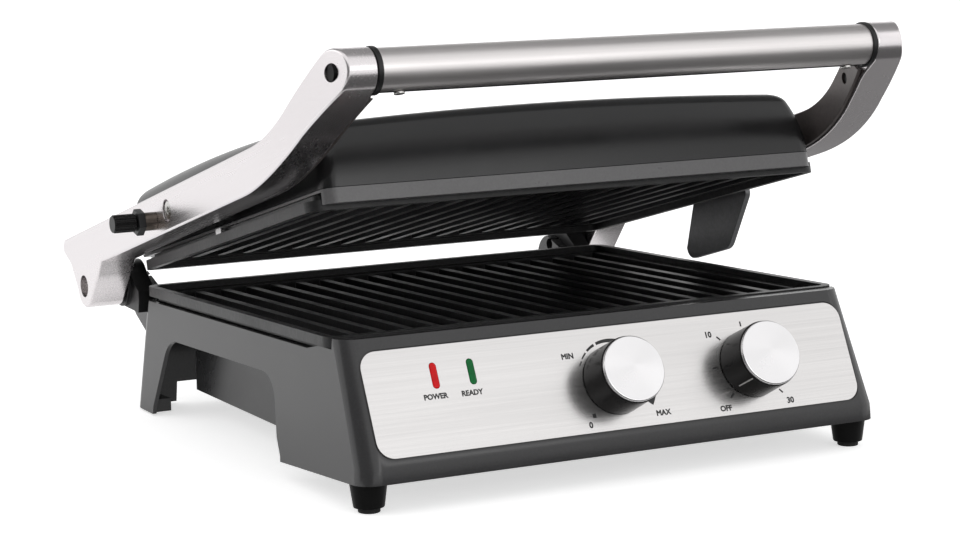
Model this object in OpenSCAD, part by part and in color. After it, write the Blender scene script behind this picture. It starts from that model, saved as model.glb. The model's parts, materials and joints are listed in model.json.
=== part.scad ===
// Electric contact grill: a ribbed lower plate in a control base, a floating upper plate in a
// domed lid, and two side arms joined by a tube handle. Millimetres, +Z up, origin on the
// worktop in the middle of the base. The front of the grill faces -Y.

/* [Base] */
// Width of the base at its lower edge
base_w = 340; // [320:1:360]
// How much narrower the base is at its upper edge
base_taper = 8; // [2:1:12]
// Depth of the base, from front skirt to rear legs
base_d = 342; // [325:1:360]
// Height of the front frame above the front feet
deck_h = 92.4; // [88:0.2:98]
// Height of the front feet under the skirt
foot_h = 16.9; // [14:0.1:19]
// Height of the upright skirt under the control panel
skirt_h = 8.8; // [6:0.1:10]
// Lean of the control face from upright, in degrees
face_lean = 23.9; // [20:0.1:26]
// Fall of the cooking deck towards the rear, in degrees
deck_fall = 2; // [1:0.1:3]
// Wall thickness of the moulded housings
wall = 2.6; // [2:0.1:3.2]
// Corner radius of the base and lid in plan
corner_r = 12; // [9:0.5:14]
// Step from the front frame down to the side rails
rail_drop = 9.1; // [8:0.1:11]
// Height of the hand hole in each side above the feet
arch_top = 62.5; // [58:0.5:66]
// Distance from the front to the hand hole
arch_front = 118; // [108:1:124]
// Distance from the rear to the flat top of the hand hole
arch_rear = 71; // [64:1:80]
// Height of the bottom pan above the worktop
pan_z = 18; // [17:0.5:20]
// Depth of the drip tray
tray_h = 20; // [14:0.5:21]

/* [Controls] */
// Thickness of the steel control panel
panel_t = 1.2; // [0.8:0.1:1.6]
// Length of the control panel up the sloping face
panel_l = 60.4; // [56:0.2:62]
// Margin from the side of the base to the panel
panel_margin = 11.7; // [10:0.1:16]
// Corner radius of the control panel
panel_r = 10; // [6:0.5:14]
// Sideways place of the thermostat knob
thermostat_x = -4; // [-20:1:10]
// Sideways place of the timer knob
timer_x = 88; // [75:1:100]
// Radius of a knob body
knob_r = 20.2; // [17:0.1:22]
// Height of a knob body
knob_h = 21.6; // [16:0.1:24]
// Thickness of the steel cap on a knob
knob_cap_t = 1.8; // [1:0.1:3]
// Distance from the end of the panel to the power lens
power_in = 42.9; // [35:0.1:50]
// Distance between the two lenses
lens_pitch = 23; // [16:0.5:30]
// Width of a lens
lens_w = 4.4; // [3:0.1:6]
// Length of a lens
lens_l = 15; // [10:0.5:18]
// Radius of a switch spindle
spindle_r = 3; // [2.5:0.1:3.5]

/* [Plates] */
// How far a plate rim stands out past the base top
rim_out = 2.4; // [1.5:0.1:3]
// Thickness of a plate rim
rim_t = 6; // [5:0.1:7]
// Width of the top of a plate rim
rim_w = 5; // [3.5:0.1:7]
// Depth of the cooking floor below the rim
floor_drop = 10; // [9:0.2:11]
// Thickness of the cooking floor
floor_t = 5; // [4:0.2:6]
// Height of a rib above the cooking floor
rib_h = 5.8; // [4:0.2:6.6]
// Width of a rib
rib_w = 5.4; // [4:0.2:7]
// Distance between ribs
rib_pitch = 17.4; // [16:0.1:20]
// Distance from the front of the base to the plate rim
plate_front = 40; // [39:0.1:44]
// Distance from the rear of the base to the plate rim
plate_rear = 22.2; // [20:0.1:28]
// Gap between the two plate rims when closed
plate_gap = 0.9; // [0.6:0.1:2]
// Radius of the tubular heaters
heater_r = 3.3; // [2.8:0.1:3.6]

/* [Lid] */
// Opening angle of the lid at rest, in degrees
lid_open = 12.6; // [8:0.1:20]
// Narrowing of the lid against the base top, each side
lid_inset = 4; // [3:0.5:8]
// Height of the lid crest above the hinge line
lid_h = 64; // [60:0.5:68]
// Height of the lower lid frame
frame_h = 8.6; // [8:0.1:10]

/* [Arms] */
// Distance of the hinge line behind the base
hinge_back = 15.3; // [15:0.1:18]
// Drop of the hinge line under the front frame
hinge_drop = 1.3; // [0.5:0.1:2]
// Extra lift of the arms over the lid, in degrees
arm_lift = 1.4; // [0:0.1:3]
// Gap between the base and the arms
arm_gap = 2; // [1.5:0.1:4]
// Thickness of an arm, outside to inside
arm_t = 23.4; // [20:0.1:26]
// Height of the straight part of an arm
arm_h = 24.5; // [22:0.5:28]
// Lower edge of an arm above the hinge line
arm_low = 10.3; // [9:0.1:12]
// Reach of an arm from the hinge to the handle
arm_reach = 385; // [375:1:395]
// Height of the handle over the hinge line
handle_up = 56.7; // [52:0.1:60]
// Slope of the raised arm end, in degrees
arm_slope = 27.5; // [24:0.5:30]
// Radius of the handle tube
tube_r = 12; // [11:0.1:13]
// Wall of the handle tube
tube_wall = 1.5; // [1:0.1:2]
// Inward bend of the arm at the handle, as a radius
toe_r = 285; // [260:1:320]
// Radius of the hinge and pivot pins
pin_r = 4; // [3.5:0.1:4.5]

/* [Fits] */
// Radial running clearance of pins and spindles
run_gap = 0.06; // [0.03:0.01:0.09]
// Clearance between parts that move past each other
move_gap = 0.8; // [0.5:0.1:1]
// Clearance of parts set into a recess
set_gap = 0.2; // [0.1:0.05:0.3]

/* [Hidden] */
$fn = 48;
eps = 0.01;

// Main places, measured on the level deck before the fall is put on
top_half = (base_w - base_taper) / 2;
face_y = 0.9;
face_z = foot_h + skirt_h;
face_len = (deck_h - face_z) / cos(face_lean);
rail_z = deck_h - rail_drop;
foot_y = 17;
foot_x = base_w / 2 - 11;
leg_splay = 11;
skirt_rise = 3.6;
hinge_y = base_d + hinge_back;
hinge_z = deck_h - hinge_drop;
panel_half = base_w / 2 - panel_margin;
power_x = -panel_half + power_in;
panel_mid = face_len / 2 - 1.4;
controls_s = panel_mid - 1.6;
lens_s = panel_mid + 13;
recess_d = 0.8;
knob_z = panel_t - recess_d + 0.6;
thermostat_deep = 16;
timer_deep = 20;
nub_h = 2.6;
pad_t = 1.4;
screw_r = 2;
screw_head_r = 3.6;
screw_head_h = 1.6;

// Plates
rim_half = top_half + rim_out;
rim_top = deck_h + 0.8;
plate_back_y = base_d - plate_rear;
upper_front = plate_front + 9.6;
rim_r = 10;
rim_low = rim_top - rim_t;
shelf_z = rim_top - 4;
web_z = rail_z + move_gap;
web_in = 5.6;
tub_in = rim_out + lid_inset + wall + move_gap;
floor_in = tub_in + 2.6;
rib_count = floor((rim_half - floor_in - 12) / rib_pitch);
gutter = 6;
drain_r = 4;
drain_x = -(rib_count - 0.5) * rib_pitch;
drain_y = base_d - 59;
floor_z = rim_top - floor_drop;
body_z = floor_z - floor_t;
upper_rim_w = rim_top - hinge_z + plate_gap;

// Inner base: the pan and the tray lie level with the worktop, not with the deck
pan_half = base_w / 2 - 23;
pan_front = 6 - base_d / 2;
pan_back = base_d / 2 - 40;
pan_top = arch_top - 1;
pan_r = 12;
pan_screw_x = pan_half - 12;
pan_screw_y = -0.38 * base_d;
lug_h = 6;
strut_x = 75;
tray_front = arch_front + 8 - base_d / 2;
tray_back = base_d / 2 - 54;
tray_z = pan_z + wall + 0.6;
tray_left = -pan_half + wall + 2;
drip_gap = 5.7;
spout_l = body_z - (drain_y - foot_y) * sin(deck_fall) - tray_z - tray_h - drip_gap;
reflector_z = body_z - 15;
reflector_half = pan_half - 15;
loom_x = pan_half - 8;
loom_z = reflector_z - 3;
loom_y = 60;
loom_r = 2.2;
gland_x = loom_x - 16;
gland_z = rail_z - 17;

// Lid and arms
lid_half = top_half - lid_inset;
lid_front_u = hinge_y - upper_front + 6.6;
lid_back_u = 1;
frame_low = upper_rim_w + rim_top - web_z + move_gap;
frame_top = upper_rim_w + 2.9 + frame_h;
lid_seam = frame_top + 0.3;
lid_plan_r = 9;
lid_face_r = 110;
lid_cheek_r = 90;
lid_edge_r = 8;
lid_rear_r = 10;
lid_crest_u = 120;
arch_tilt = 5;
crown_tilt = 3;
arm_open = lid_open + arm_lift;
arm_in = base_w / 2 + arm_gap;
arm_out = arm_in + arm_t;
arm_top = arm_low + arm_h;
boss_r = tube_r + 0.7;
boss_in = arm_in - 12;
tab_r = 13.3;
pivot_u = 162;
pivot_w = arm_low + arm_h / 2 - 0.1;
lock_u = 140.6;
lock_w = pivot_w - 2.8;
post_r = 15;
post_in = arm_in - 15;
post_out = base_w / 2 + 1;
lug_t = 7;
lug_r = 16;
lug_drop = 10;
lid_boss_r = 6;
lid_screw_x = 120;
lid_screw_u = [25, lid_front_u - 8];
hinge_recess_r = 7.1;
cover_t = 2.4;
arm_wall = 4;
cover_screws = [[20, arm_low + 9], [arm_reach - 29, handle_up - 14]];
low_r = 170;
top_r = 95;
bend_low = arm_reach - 109;
bend_top = arm_reach - 89;
bend_start = arm_reach - 87;
ring_w = 3;
lever_out = arm_out + move_gap + 4;

// ---- placing ----

// Everything on the base stands on a deck that falls gently to the rear
module deck() {
    translate([0, foot_y - base_d / 2, 0])
        rotate([-deck_fall, 0, 0])
            translate([0, -foot_y, 0])
                children();
}

// Hinge line frame: -Y reaches forward, +Z stands off the plates
module hinged(angle) {
    deck()
        translate([0, hinge_y, hinge_z])
            rotate([-angle, 0, 0])
                children();
}

// Place on the sloping control face: x across, s up the face, h out of it
module on_face(x, s, h = 0) {
    deck()
        translate([x, face_y, face_z])
            rotate([90 - face_lean, 0, 0])
                translate([0, s, h])
                    children();
}

// Extrude an outline of (y, z) points along X between two planes
module across(x0, x1) {
    translate([x0, 0, 0])
        rotate([90, 0, 90])
            linear_extrude(x1 - x0)
                children();
}

// Cylinder along X
module x_pin(x0, x1, r, y = 0, z = 0) {
    translate([x0, y, z])
        rotate([0, 90, 0])
            cylinder(h = x1 - x0, r = r);
}

module both_sides() {
    children();
    mirror([1, 0, 0])
        children();
}

// ---- outlines ----

function arc(cx, cy, r, from, to, steps = 12) =
    [for (i = [0:steps]) [cx + r * cos(from + (to - from) * i / steps),
        cy + r * sin(from + (to - from) * i / steps)]];

module round_rect(w, d, r) {
    square([w - 2 * r, d], center = true);
    square([w, d - 2 * r], center = true);
    for (sx = [-1, 1], sy = [-1, 1])
        translate([sx * (w / 2 - r), sy * (d / 2 - r)])
            circle(r);
}

module pill(w, l) {
    square([w, l - w], center = true);
    for (s = [-1, 1])
        translate([0, s * (l - w) / 2])
            circle(w / 2);
}

// Plan of a plate, grown or shrunk all round by g; y runs from front to rear
module plate_plan(g, front) {
    half = rim_half + g;
    y0 = front - g;
    y1 = plate_back_y + g;
    r = max(rim_r + g, 2);
    polygon(concat(
        arc(-half + r, y0 + r, r, 180, 270),
        arc(half - r, y0 + r, r, 270, 360),
        arc(half - r, y1 - r, r, 0, 90),
        arc(-half + r, y1 - r, r, 90, 180)));
}

// Thin rounded slab used to blend the moulded shells
module slab(half, y0, y1, z, r) {
    translate([0, (y0 + y1) / 2, z])
        linear_extrude(eps)
            round_rect(2 * half, y1 - y0, r, $fn = 32);
}

// ---- base ----

function side_half(z) = base_w / 2 - base_taper / 2 * (z - foot_h) / (deck_h - foot_h);
function back_y(z) = base_d - (z - foot_h) * tan(leg_splay);

// Outer form of the base, shrunk by g inside the walls
module base_form(g, low, top) {
    hull() {
        slab(side_half(low) - g, g, back_y(low) - g, low, corner_r - g / 2);
        slab(side_half(face_z) - g, face_y + g, back_y(face_z) - g, face_z, corner_r - g / 2);
        slab(side_half(top) - g, face_y + (top - face_z) * tan(face_lean) + g / cos(face_lean),
            back_y(top) - g, top - eps, corner_r - g / 2);
    }
}

// The hand hole through both sides, open at the bottom between skirt and leg
module side_arch() {
    back = base_d - arch_rear;
    r_front = 18;
    r_back = 22;
    polygon(concat(
        [[arch_front - 12, -20], [arch_front - 8, foot_h], [arch_front - 3, foot_h + 10]],
        arc(arch_front + r_front, arch_top - r_front, r_front, 175, 90, 8),
        arc(back, arch_top - r_back, r_back, 90, 29, 8),
        [[base_d - 33, foot_h], [base_d - 27, -20]]));
}

// Solid corners inside the shell that the feet and pads fasten to, and struts behind the pan
module corner_blocks() {
    both_sides() {
        translate([pan_half + 1, 0, 0])
            cube([base_w, 34, foot_h + 3]);
        translate([pan_half + 9, base_d - 28, 0])
            cube([base_w, 60, foot_h + 3]);
        translate([strut_x - 6, base_d - 62, 36])
            cube([12, 80, 12]);
    }
}

// Lugs inside the front corners that the pan is screwed to, level with the pan
module pan_lugs() {
    both_sides()
        translate([pan_screw_x - 8, pan_screw_y - 12, pan_z + wall])
            cube([base_w / 2 - pan_screw_x + 6.6, 24, lug_h]);
}

// Rounded lugs behind the rear corners that the hinge posts bolt to
module hinge_lugs() {
    both_sides()
        across(post_in - lug_t, post_in)
            polygon(concat(
                [[back_y(rail_z) - wall, rail_z], [back_y(rail_z - 34) - wall, rail_z - 34]],
                arc(hinge_y + 1, hinge_z - lug_drop, lug_r, -55, 80)));
}

module base_housing() {
    color("dimgray")
        difference() {
            union() {
                deck()
                    difference() {
                        base_form(0, 2, deck_h);
                        difference() {
                            base_form(wall, 2 - eps, deck_h - wall);
                            corner_blocks();
                        }
                        housing_cuts();
                    }
                deck()
                    hinge_lugs();
                pan_lugs();
            }
            for (x = [-1, 1])
                translate([x * pan_screw_x, pan_screw_y, pan_z])
                    cylinder(h = wall + lug_h + 1, r = screw_r + 0.05);
            // seat of the pan against the struts
            translate([-pan_half, pan_back - 40, pan_z])
                cube([2 * pan_half, 40, pan_top - pan_z]);
            deck()
                x_pin(-base_w, base_w, pin_r + run_gap, hinge_y, hinge_z);
            // recess and holes of the control panel
            on_face(0, panel_mid, -recess_d)
                linear_extrude(5)
                    round_rect(2 * panel_half + 1.8, panel_l + 1.8, panel_r + 0.9);
            control_holes(-10, 20, 0.1);
            // legs end on their pads
            translate([-base_w, -base_d, -40])
                cube([2 * base_w, 2 * base_d, 40 + pad_t]);
        }
}

module housing_cuts() {
    // side rails, lower than the front frame
    across(-base_w, base_w)
        rail_profile(deck_h + 1, plate_front + 20);
    // seat of the lower plate: high under its front corners, then down to the rails
    intersection() {
        linear_extrude(2 * deck_h)
            plate_plan(move_gap, plate_front);
        across(-base_w, base_w)
            rail_profile(2 * deck_h, 0);
    }
    translate([0, 0, body_z - 2])
        linear_extrude(deck_h)
            plate_plan(move_gap - tub_in, plate_front);
    across(-base_w, base_w)
        side_arch();
    // the front skirt comes down a little towards the hand holes
    across(-base_w, base_w)
        polygon([[-5, -5], [-5, foot_h], [0, foot_h], [arch_front, foot_h - skirt_rise], [arch_front, -5]]);
    // space between the rear legs
    translate([-(base_w / 2 - 28), base_d - 60, -5])
        cube([base_w - 56, 90, foot_h + 14]);
    translate([gland_x, base_d - 40, gland_z])
        rotate([-90, 0, 0])
            cylinder(h = 80, r = 7);
}

module rail_profile(top, front) {
    polygon([[front, top], [front, rim_low - move_gap], [plate_front + 20, rim_low - move_gap],
        [plate_front + 35, rail_z], [base_d + 20, rail_z], [base_d + 20, top]]);
}

module control_holes(h0, h1, grow) {
    for (x = [thermostat_x, timer_x])
        on_face(x, controls_s, h0)
            cylinder(h = h1 - h0, r = 5 + grow);
    for (x = [power_x, power_x + lens_pitch])
        on_face(x, lens_s, h0)
            linear_extrude(h1 - h0)
                pill(lens_w + 2 * grow, lens_l + 2 * grow);
}

// Pan that closes the base from below; the tray slides in over its floor from the right
module bottom_pan() {
    color("#1c1c1d")
        difference() {
            translate([0, (pan_front + pan_back) / 2, pan_z])
                difference() {
                    linear_extrude(pan_top - pan_z)
                        round_rect(2 * pan_half, pan_back - pan_front, pan_r);
                    translate([0, 0, wall])
                        linear_extrude(pan_top)
                            round_rect(2 * (pan_half - wall), pan_back - pan_front - 2 * wall, pan_r - wall);
                }
            // only the floor runs on under the controls
            translate([-base_w, -base_d, pan_z + wall])
                cube([2 * base_w, base_d / 2 + loom_y - 6, base_d]);
            // mouth of the tray
            translate([pan_half - wall - 2, tray_front - move_gap, tray_z - move_gap])
                cube([wall + 8, tray_back - tray_front + 2 * move_gap, tray_h + 2 * move_gap]);
            // way of the wiring through the rear wall
            translate([loom_x - 6, pan_back - wall - 2, pan_top - 14])
                cube([12, wall + 4, 20]);
            for (x = [-1, 1])
                translate([x * pan_screw_x, pan_screw_y, pan_z - 1])
                    cylinder(h = 6, r = screw_r + set_gap);
            for (i = [-4:4])
                translate([i * 22 - 1.5, -90, pan_z - 1])
                    cube([3, 50, 6]);
        }
}

module bottom_screws() {
    color("silver")
        for (x = [-1, 1])
            translate([x * pan_screw_x, pan_screw_y, pan_z]) {
                translate([0, 0, -screw_head_h])
                    cylinder(h = screw_head_h, r = screw_head_r);
                cylinder(h = wall + lug_h - 1, r = screw_r);
            }
}

// Tapered feet under the front corners; the nubs are their rubber tips
module front_feet() {
    color("#141414")
        deck()
            difference() {
                both_sides()
                    translate([foot_x, foot_y, nub_h])
                        cylinder(h = foot_h - nub_h, r1 = 8.6, r2 = 10.6);
                // the tops follow the lower edge of the skirt
                across(-base_w, base_w)
                    polygon([[0, foot_h], [arch_front, foot_h - skirt_rise], [arch_front, foot_h + 1],
                        [0, foot_h + 1]]);
            }
}

module foot_nubs() {
    color("#202020")
        difference() {
            both_sides()
                deck()
                    translate([foot_x, foot_y, -1])
                        cylinder(h = nub_h + 1, r = 6.2);
            translate([-base_w, -base_d, -10])
                cube([2 * base_w, 2 * base_d, 10]);
        }
}

module rear_pads() {
    color("#141414")
        both_sides()
            translate([base_w / 2 - 8.6, base_d / 2 - 22, 0])
                cube([6.4, 17, pad_t]);
}

// Black posts beside the lugs that carry the hinge line
module hinge_posts() {
    color("#161616")
        both_sides()
            deck()
                difference() {
                    union() {
                        x_pin(post_in + 0.05, post_out, post_r, hinge_y, hinge_z);
                        across(post_in + 0.05, post_out - 2)
                            polygon([[back_y(rail_z) + 0.4, rail_z - 1], [back_y(rail_z) + 0.4, hinge_z - 3],
                                [hinge_y - 6, hinge_z + 12], [hinge_y + 4, hinge_z - 14.4],
                                [back_y(rail_z - 9) + 0.4, rail_z - 9]]);
                    }
                    x_pin(post_in - 1, post_out + 1, pin_r + run_gap, hinge_y, hinge_z);
                }
}

module cord_gland() {
    color("#1a1a1a")
        deck()
            translate([gland_x, 0, gland_z])
                rotate([-90, 0, 0])
                    translate([0, 0, back_y(gland_z) - wall - 5])
                        difference() {
                            union() {
                                cylinder(h = wall + 11, r = 7 - set_gap);
                                translate([0, 0, wall + 6.6])
                                    cylinder(h = 5, r = 9.5);
                                cylinder(h = 3, r = 9);
                            }
                            translate([0, 0, -1])
                                cylinder(h = wall + 20, r = 3.6);
                        }
}

module drip_tray() {
    wide = pan_half - tray_left;
    long = tray_back - tray_front;
    color("#2a2a2b")
        translate([tray_left, tray_front, tray_z])
            difference() {
                union() {
                    cube([wide, long, tray_h]);
                    // finger lip
                    translate([wide - eps, long / 2 - 45, tray_h - 3])
                        cube([9, 90, 3]);
                }
                translate([2, 2, 2])
                    cube([wide - 5, long - 4, tray_h]);
            }
}

// ---- controls ----

module control_panel() {
    color("gainsboro")
        difference() {
            on_face(0, panel_mid, -recess_d)
                linear_extrude(panel_t)
                    round_rect(2 * panel_half, panel_l, panel_r);
            control_holes(-5, 5, 0);
        }
}

module lens(x) {
    on_face(x, lens_s, -wall) {
        linear_extrude(wall + panel_t - 0.3)
            pill(lens_w - 2 * set_gap, lens_l - 2 * set_gap);
        translate([0, 0, -1.5])
            linear_extrude(1.5)
                pill(lens_w + 2, lens_l + 2);
    }
}

module power_lens() {
    color("red")
        lens(power_x);
}

module ready_lens() {
    color("green")
        lens(power_x + lens_pitch);
}

module indicator_lamps() {
    color("orange")
        for (x = [power_x, power_x + lens_pitch])
            on_face(x, lens_s - 4, -wall - 5) {
                cylinder(h = 3.2, r = 2);
                translate([0, 0, -9])
                    cylinder(h = 9, r = 3);
            }
}

// Can, neck and flange of a rotary switch, bolted behind the face
module switch_body(x, r, deep) {
    difference() {
        on_face(x, controls_s, -wall - deep) {
            cylinder(h = deep, r = r);
            translate([0, 0, deep - eps])
                cylinder(h = wall + 0.2, r = 4.7);
        }
        on_face(x, controls_s, -wall - deep + 3)
            cylinder(h = deep + 20, r = spindle_r + run_gap);
    }
}

module thermostat_body() {
    color("tan")
        switch_body(thermostat_x, 15, thermostat_deep);
}

module timer_body() {
    color("lightgray")
        switch_body(timer_x, 17, timer_deep);
}

module spindle(x, deep) {
    on_face(x, controls_s, -wall - deep + 4)
        cylinder(h = deep + wall + knob_h - 9, r = spindle_r);
}

module thermostat_spindle() {
    color("silver")
        spindle(thermostat_x, thermostat_deep);
}

module timer_spindle() {
    color("silver")
        spindle(timer_x, timer_deep);
}

module knob(x) {
    on_face(x, controls_s, knob_z)
        difference() {
            union() {
                cylinder(h = knob_h, r1 = knob_r, r2 = knob_r - 0.7);
                for (a = [0:15:345])
                    rotate([0, 0, a])
                        translate([knob_r - 0.6, 0, 1.5])
                            cylinder(h = knob_h - 4, r = 0.8, $fn = 13);
            }
            translate([0, 0, -1])
                cylinder(h = 7, r = 14);
            translate([0, 0, -1])
                cylinder(h = knob_h - 4.2, r = spindle_r + 0.02);
        }
}

module thermostat_knob() {
    color("black")
        knob(thermostat_x);
}

module timer_knob() {
    color("black")
        knob(timer_x);
}

module knob_cap(x) {
    on_face(x, controls_s, knob_z + knob_h)
        cylinder(h = knob_cap_t, r1 = knob_r - 0.7, r2 = knob_r - 1.2);
}

module thermostat_cap() {
    color("whitesmoke")
        knob_cap(thermostat_x);
}

module timer_cap() {
    color("whitesmoke")
        knob_cap(timer_x);
}

// ---- plates and heat ----

// A cast plate as the lower one lies: rim, web, tub, floor and ribs
module cast_plate(front) {
    difference() {
        union() {
            translate([0, 0, rim_low])
                linear_extrude(rim_t)
                    plate_plan(0, front);
            translate([0, 0, web_z])
                linear_extrude(rim_low - web_z + eps)
                    plate_plan(-web_in, front);
            translate([0, 0, body_z])
                linear_extrude(web_z - body_z + eps)
                    plate_plan(-tub_in, front);
        }
        translate([0, 0, shelf_z])
            linear_extrude(rim_t + 1)
                plate_plan(-rim_w, front);
        translate([0, 0, floor_z])
            linear_extrude(floor_drop + 1)
                plate_plan(-floor_in, front);
        translate([drain_x, drain_y, body_z - 1])
            cylinder(h = floor_drop + floor_t + 2, r = drain_r);
    }
    for (i = [-rib_count:rib_count])
        translate([i * rib_pitch, (front + plate_back_y) / 2, floor_z - eps])
            linear_extrude(rib_h)
                pill(rib_w, plate_back_y - front - 2 * (gutter + floor_in));
}

// Tube under the drain that brings the fat down to the tray
module drain_spout() {
    color("#2b2b2b")
        deck()
            translate([drain_x, drain_y, body_z - spout_l])
                difference() {
                    cylinder(h = spout_l, r = drain_r + 1.5);
                    translate([0, 0, -1])
                        cylinder(h = spout_l + 2, r = drain_r);
                }
}

module lower_plate() {
    color("#2b2b2b")
        deck()
            cast_plate(plate_front);
}

module upper_plate() {
    color("#2b2b2b")
        hinged(lid_open)
            translate([0, -hinge_y, 0])
                mirror([0, 0, 1])
                    translate([0, 0, -rim_top - upper_rim_w])
                        cast_plate(upper_front);
}

// Bent tube heater: two long runs joined by a half turn at the front
module heater(half, y0, y1) {
    for (s = [-1, 1])
        translate([s * half, y0, 0])
            rotate([-90, 0, 0])
                cylinder(h = y1 - y0, r = heater_r);
    for (s = [-1, 1])
        translate([s * (half - 20), y0, 0])
            rotate([0, 0, s > 0 ? -90 : 180])
                rotate_extrude(angle = 90)
                    translate([20, 0])
                        circle(heater_r);
    x_pin(-(half - 20), half - 20, heater_r, y0 - 20, 0);
}

module lower_heater() {
    color("darkgray")
        deck()
            translate([0, 0, body_z - heater_r])
                heater(rim_half - 50, upper_front + 60, plate_back_y - 65);
}

module upper_heater() {
    color("darkgray")
        hinged(lid_open)
            translate([0, -hinge_y, upper_rim_w + floor_drop + floor_t + heater_r])
                heater(rim_half - 50, upper_front + 60, plate_back_y - 65);
}

module reflector_pan(y0, y1) {
    difference() {
        translate([-reflector_half, y0, 0])
            cube([2 * reflector_half, y1 - y0, 12]);
        translate([-reflector_half + 1, y0 + 1, 1])
            cube([2 * reflector_half - 2, y1 - y0 - 2, 20]);
    }
}

module lower_reflector() {
    color("lightsteelblue")
        deck()
            translate([0, 0, reflector_z])
                reflector_pan(upper_front + 24, plate_back_y - 60);
}

module upper_reflector() {
    color("lightsteelblue")
        hinged(lid_open)
            translate([0, -hinge_y, upper_rim_w + floor_drop + floor_t + 15])
                mirror([0, 0, 1])
                    reflector_pan(upper_front + 24, plate_back_y - 60);
}

// Ceramic block on the rear wall of the pan, where the supply joins the loom
module terminal_block() {
    color("ivory")
        translate([loom_x - 46, pan_back - wall - 14, tray_z + tray_h + 3]) {
            cube([34, 14, 10]);
            for (i = [0:2])
                translate([4 + i * 10.5, 3, 10 - eps])
                    cube([6, 8, 3]);
        }
}

// Leads from both switches, gathered into one loom that runs back along the right side
module base_wiring() {
    depth = wall + timer_deep + 6;
    bar_y = face_y + controls_s * sin(face_lean) + depth * cos(face_lean);
    bar_z = face_z + controls_s * cos(face_lean) - depth * sin(face_lean);
    color("firebrick") {
        for (lead = [[thermostat_x, thermostat_deep], [timer_x, timer_deep]])
            on_face(lead[0], controls_s, -depth)
                cylinder(h = depth - wall - lead[1], r = 1.3);
        deck() {
            x_pin(thermostat_x - 1.3, loom_x, loom_r, bar_y, bar_z);
            translate([loom_x, bar_y, bar_z])
                rotate([-90, 0, 0])
                    cylinder(h = loom_y - bar_y, r = loom_r);
            translate([loom_x, loom_y, bar_z - loom_r])
                cylinder(h = loom_z - bar_z + 2 * loom_r, r = loom_r);
            translate([loom_x, loom_y, loom_z])
                rotate([-90, 0, 0])
                    cylinder(h = back_y(loom_z) - wall - 2 - loom_y, r = loom_r);
        }
    }
}

// ---- arms ----

// Side outline of an arm about the hinge line; x runs forward, y up
module arm_outline() {
    polygon(concat(
        [[38.5, arm_low]],
        arc(bend_low, arm_low + low_r, low_r, -90, -90 + arm_slope),
        arc(arm_reach, handle_up, boss_r, -90 + arm_slope, 90 + arm_slope, 18),
        arc(bend_top, arm_top + top_r, top_r, -90 + arm_slope, -90),
        [[-28, arm_top], [-32, arm_top - 4], [-32, arm_top - 8], [-21, arm_low + 7.2]],
        arc(0, -0.5, tab_r, 180, 302)));
}

// Hollow of the arm, closed by the inner cover
module arm_pocket_outline() {
    polygon([[30, arm_low + 3], [arm_reach - 104, arm_low + 3], [arm_reach - 62, arm_low + 13],
        [arm_reach - 36, handle_up - 26], [arm_reach - 46, handle_up - 16],
        [arm_reach - 62, arm_top + 1], [arm_reach - 90, arm_top - 3], [-20, arm_top - 3],
        [-20, arm_top - 9]]);
}

// Inner side of an arm less a margin, cut round the boss of the handle
module arm_cover_outline() {
    m = 1.2;
    polygon(concat(
        [[24, arm_low + m]],
        arc(bend_low, arm_low + low_r, low_r - m, -90, -90 + arm_slope),
        arc(arm_reach, handle_up, boss_r + 2.2, -112, -192, 8),
        arc(bend_top, arm_top + top_r, top_r + m, -90 + arm_slope, -90),
        [[-22, arm_top - m], [-22, arm_top - 9], [4, arm_low + 8]]));
}

// Plan outline of an arm between two depths below its outer face: straight, then bent in
module arm_plan(deep, shallow) {
    turn = asin((arm_reach + 16 - bend_start) / (toe_r - arm_t - 8));
    polygon(concat(
        [[-40, arm_out - deep], [-40, arm_out - shallow]],
        arc(bend_start, arm_out - toe_r, toe_r - shallow, 90, 90 - turn),
        arc(bend_start, arm_out - toe_r, toe_r - deep, 90 - turn, 90)));
}

// Inner face of an arm at a distance forward of the hinge
function arm_inner(u) = u < bend_start ? arm_in
    : arm_out - toe_r + sqrt(pow(toe_r - arm_t, 2) - pow(u - bend_start, 2));

// Outline space to hinge space: outline x -> -Y, outline y -> +Z, depth -> +X
module arm_side(x0, x1) {
    translate([x0, 0, 0])
        mirror([0, 1, 0])
            rotate([90, 0, 90])
                linear_extrude(x1 - x0)
                    children();
}

module arm_bent(deep, shallow) {
    mirror([0, 1, 0])
        rotate([0, 0, 90])
            mirror([0, 1, 0])
                translate([0, 0, -40])
                    linear_extrude(160)
                        arm_plan(deep, shallow);
}

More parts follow.
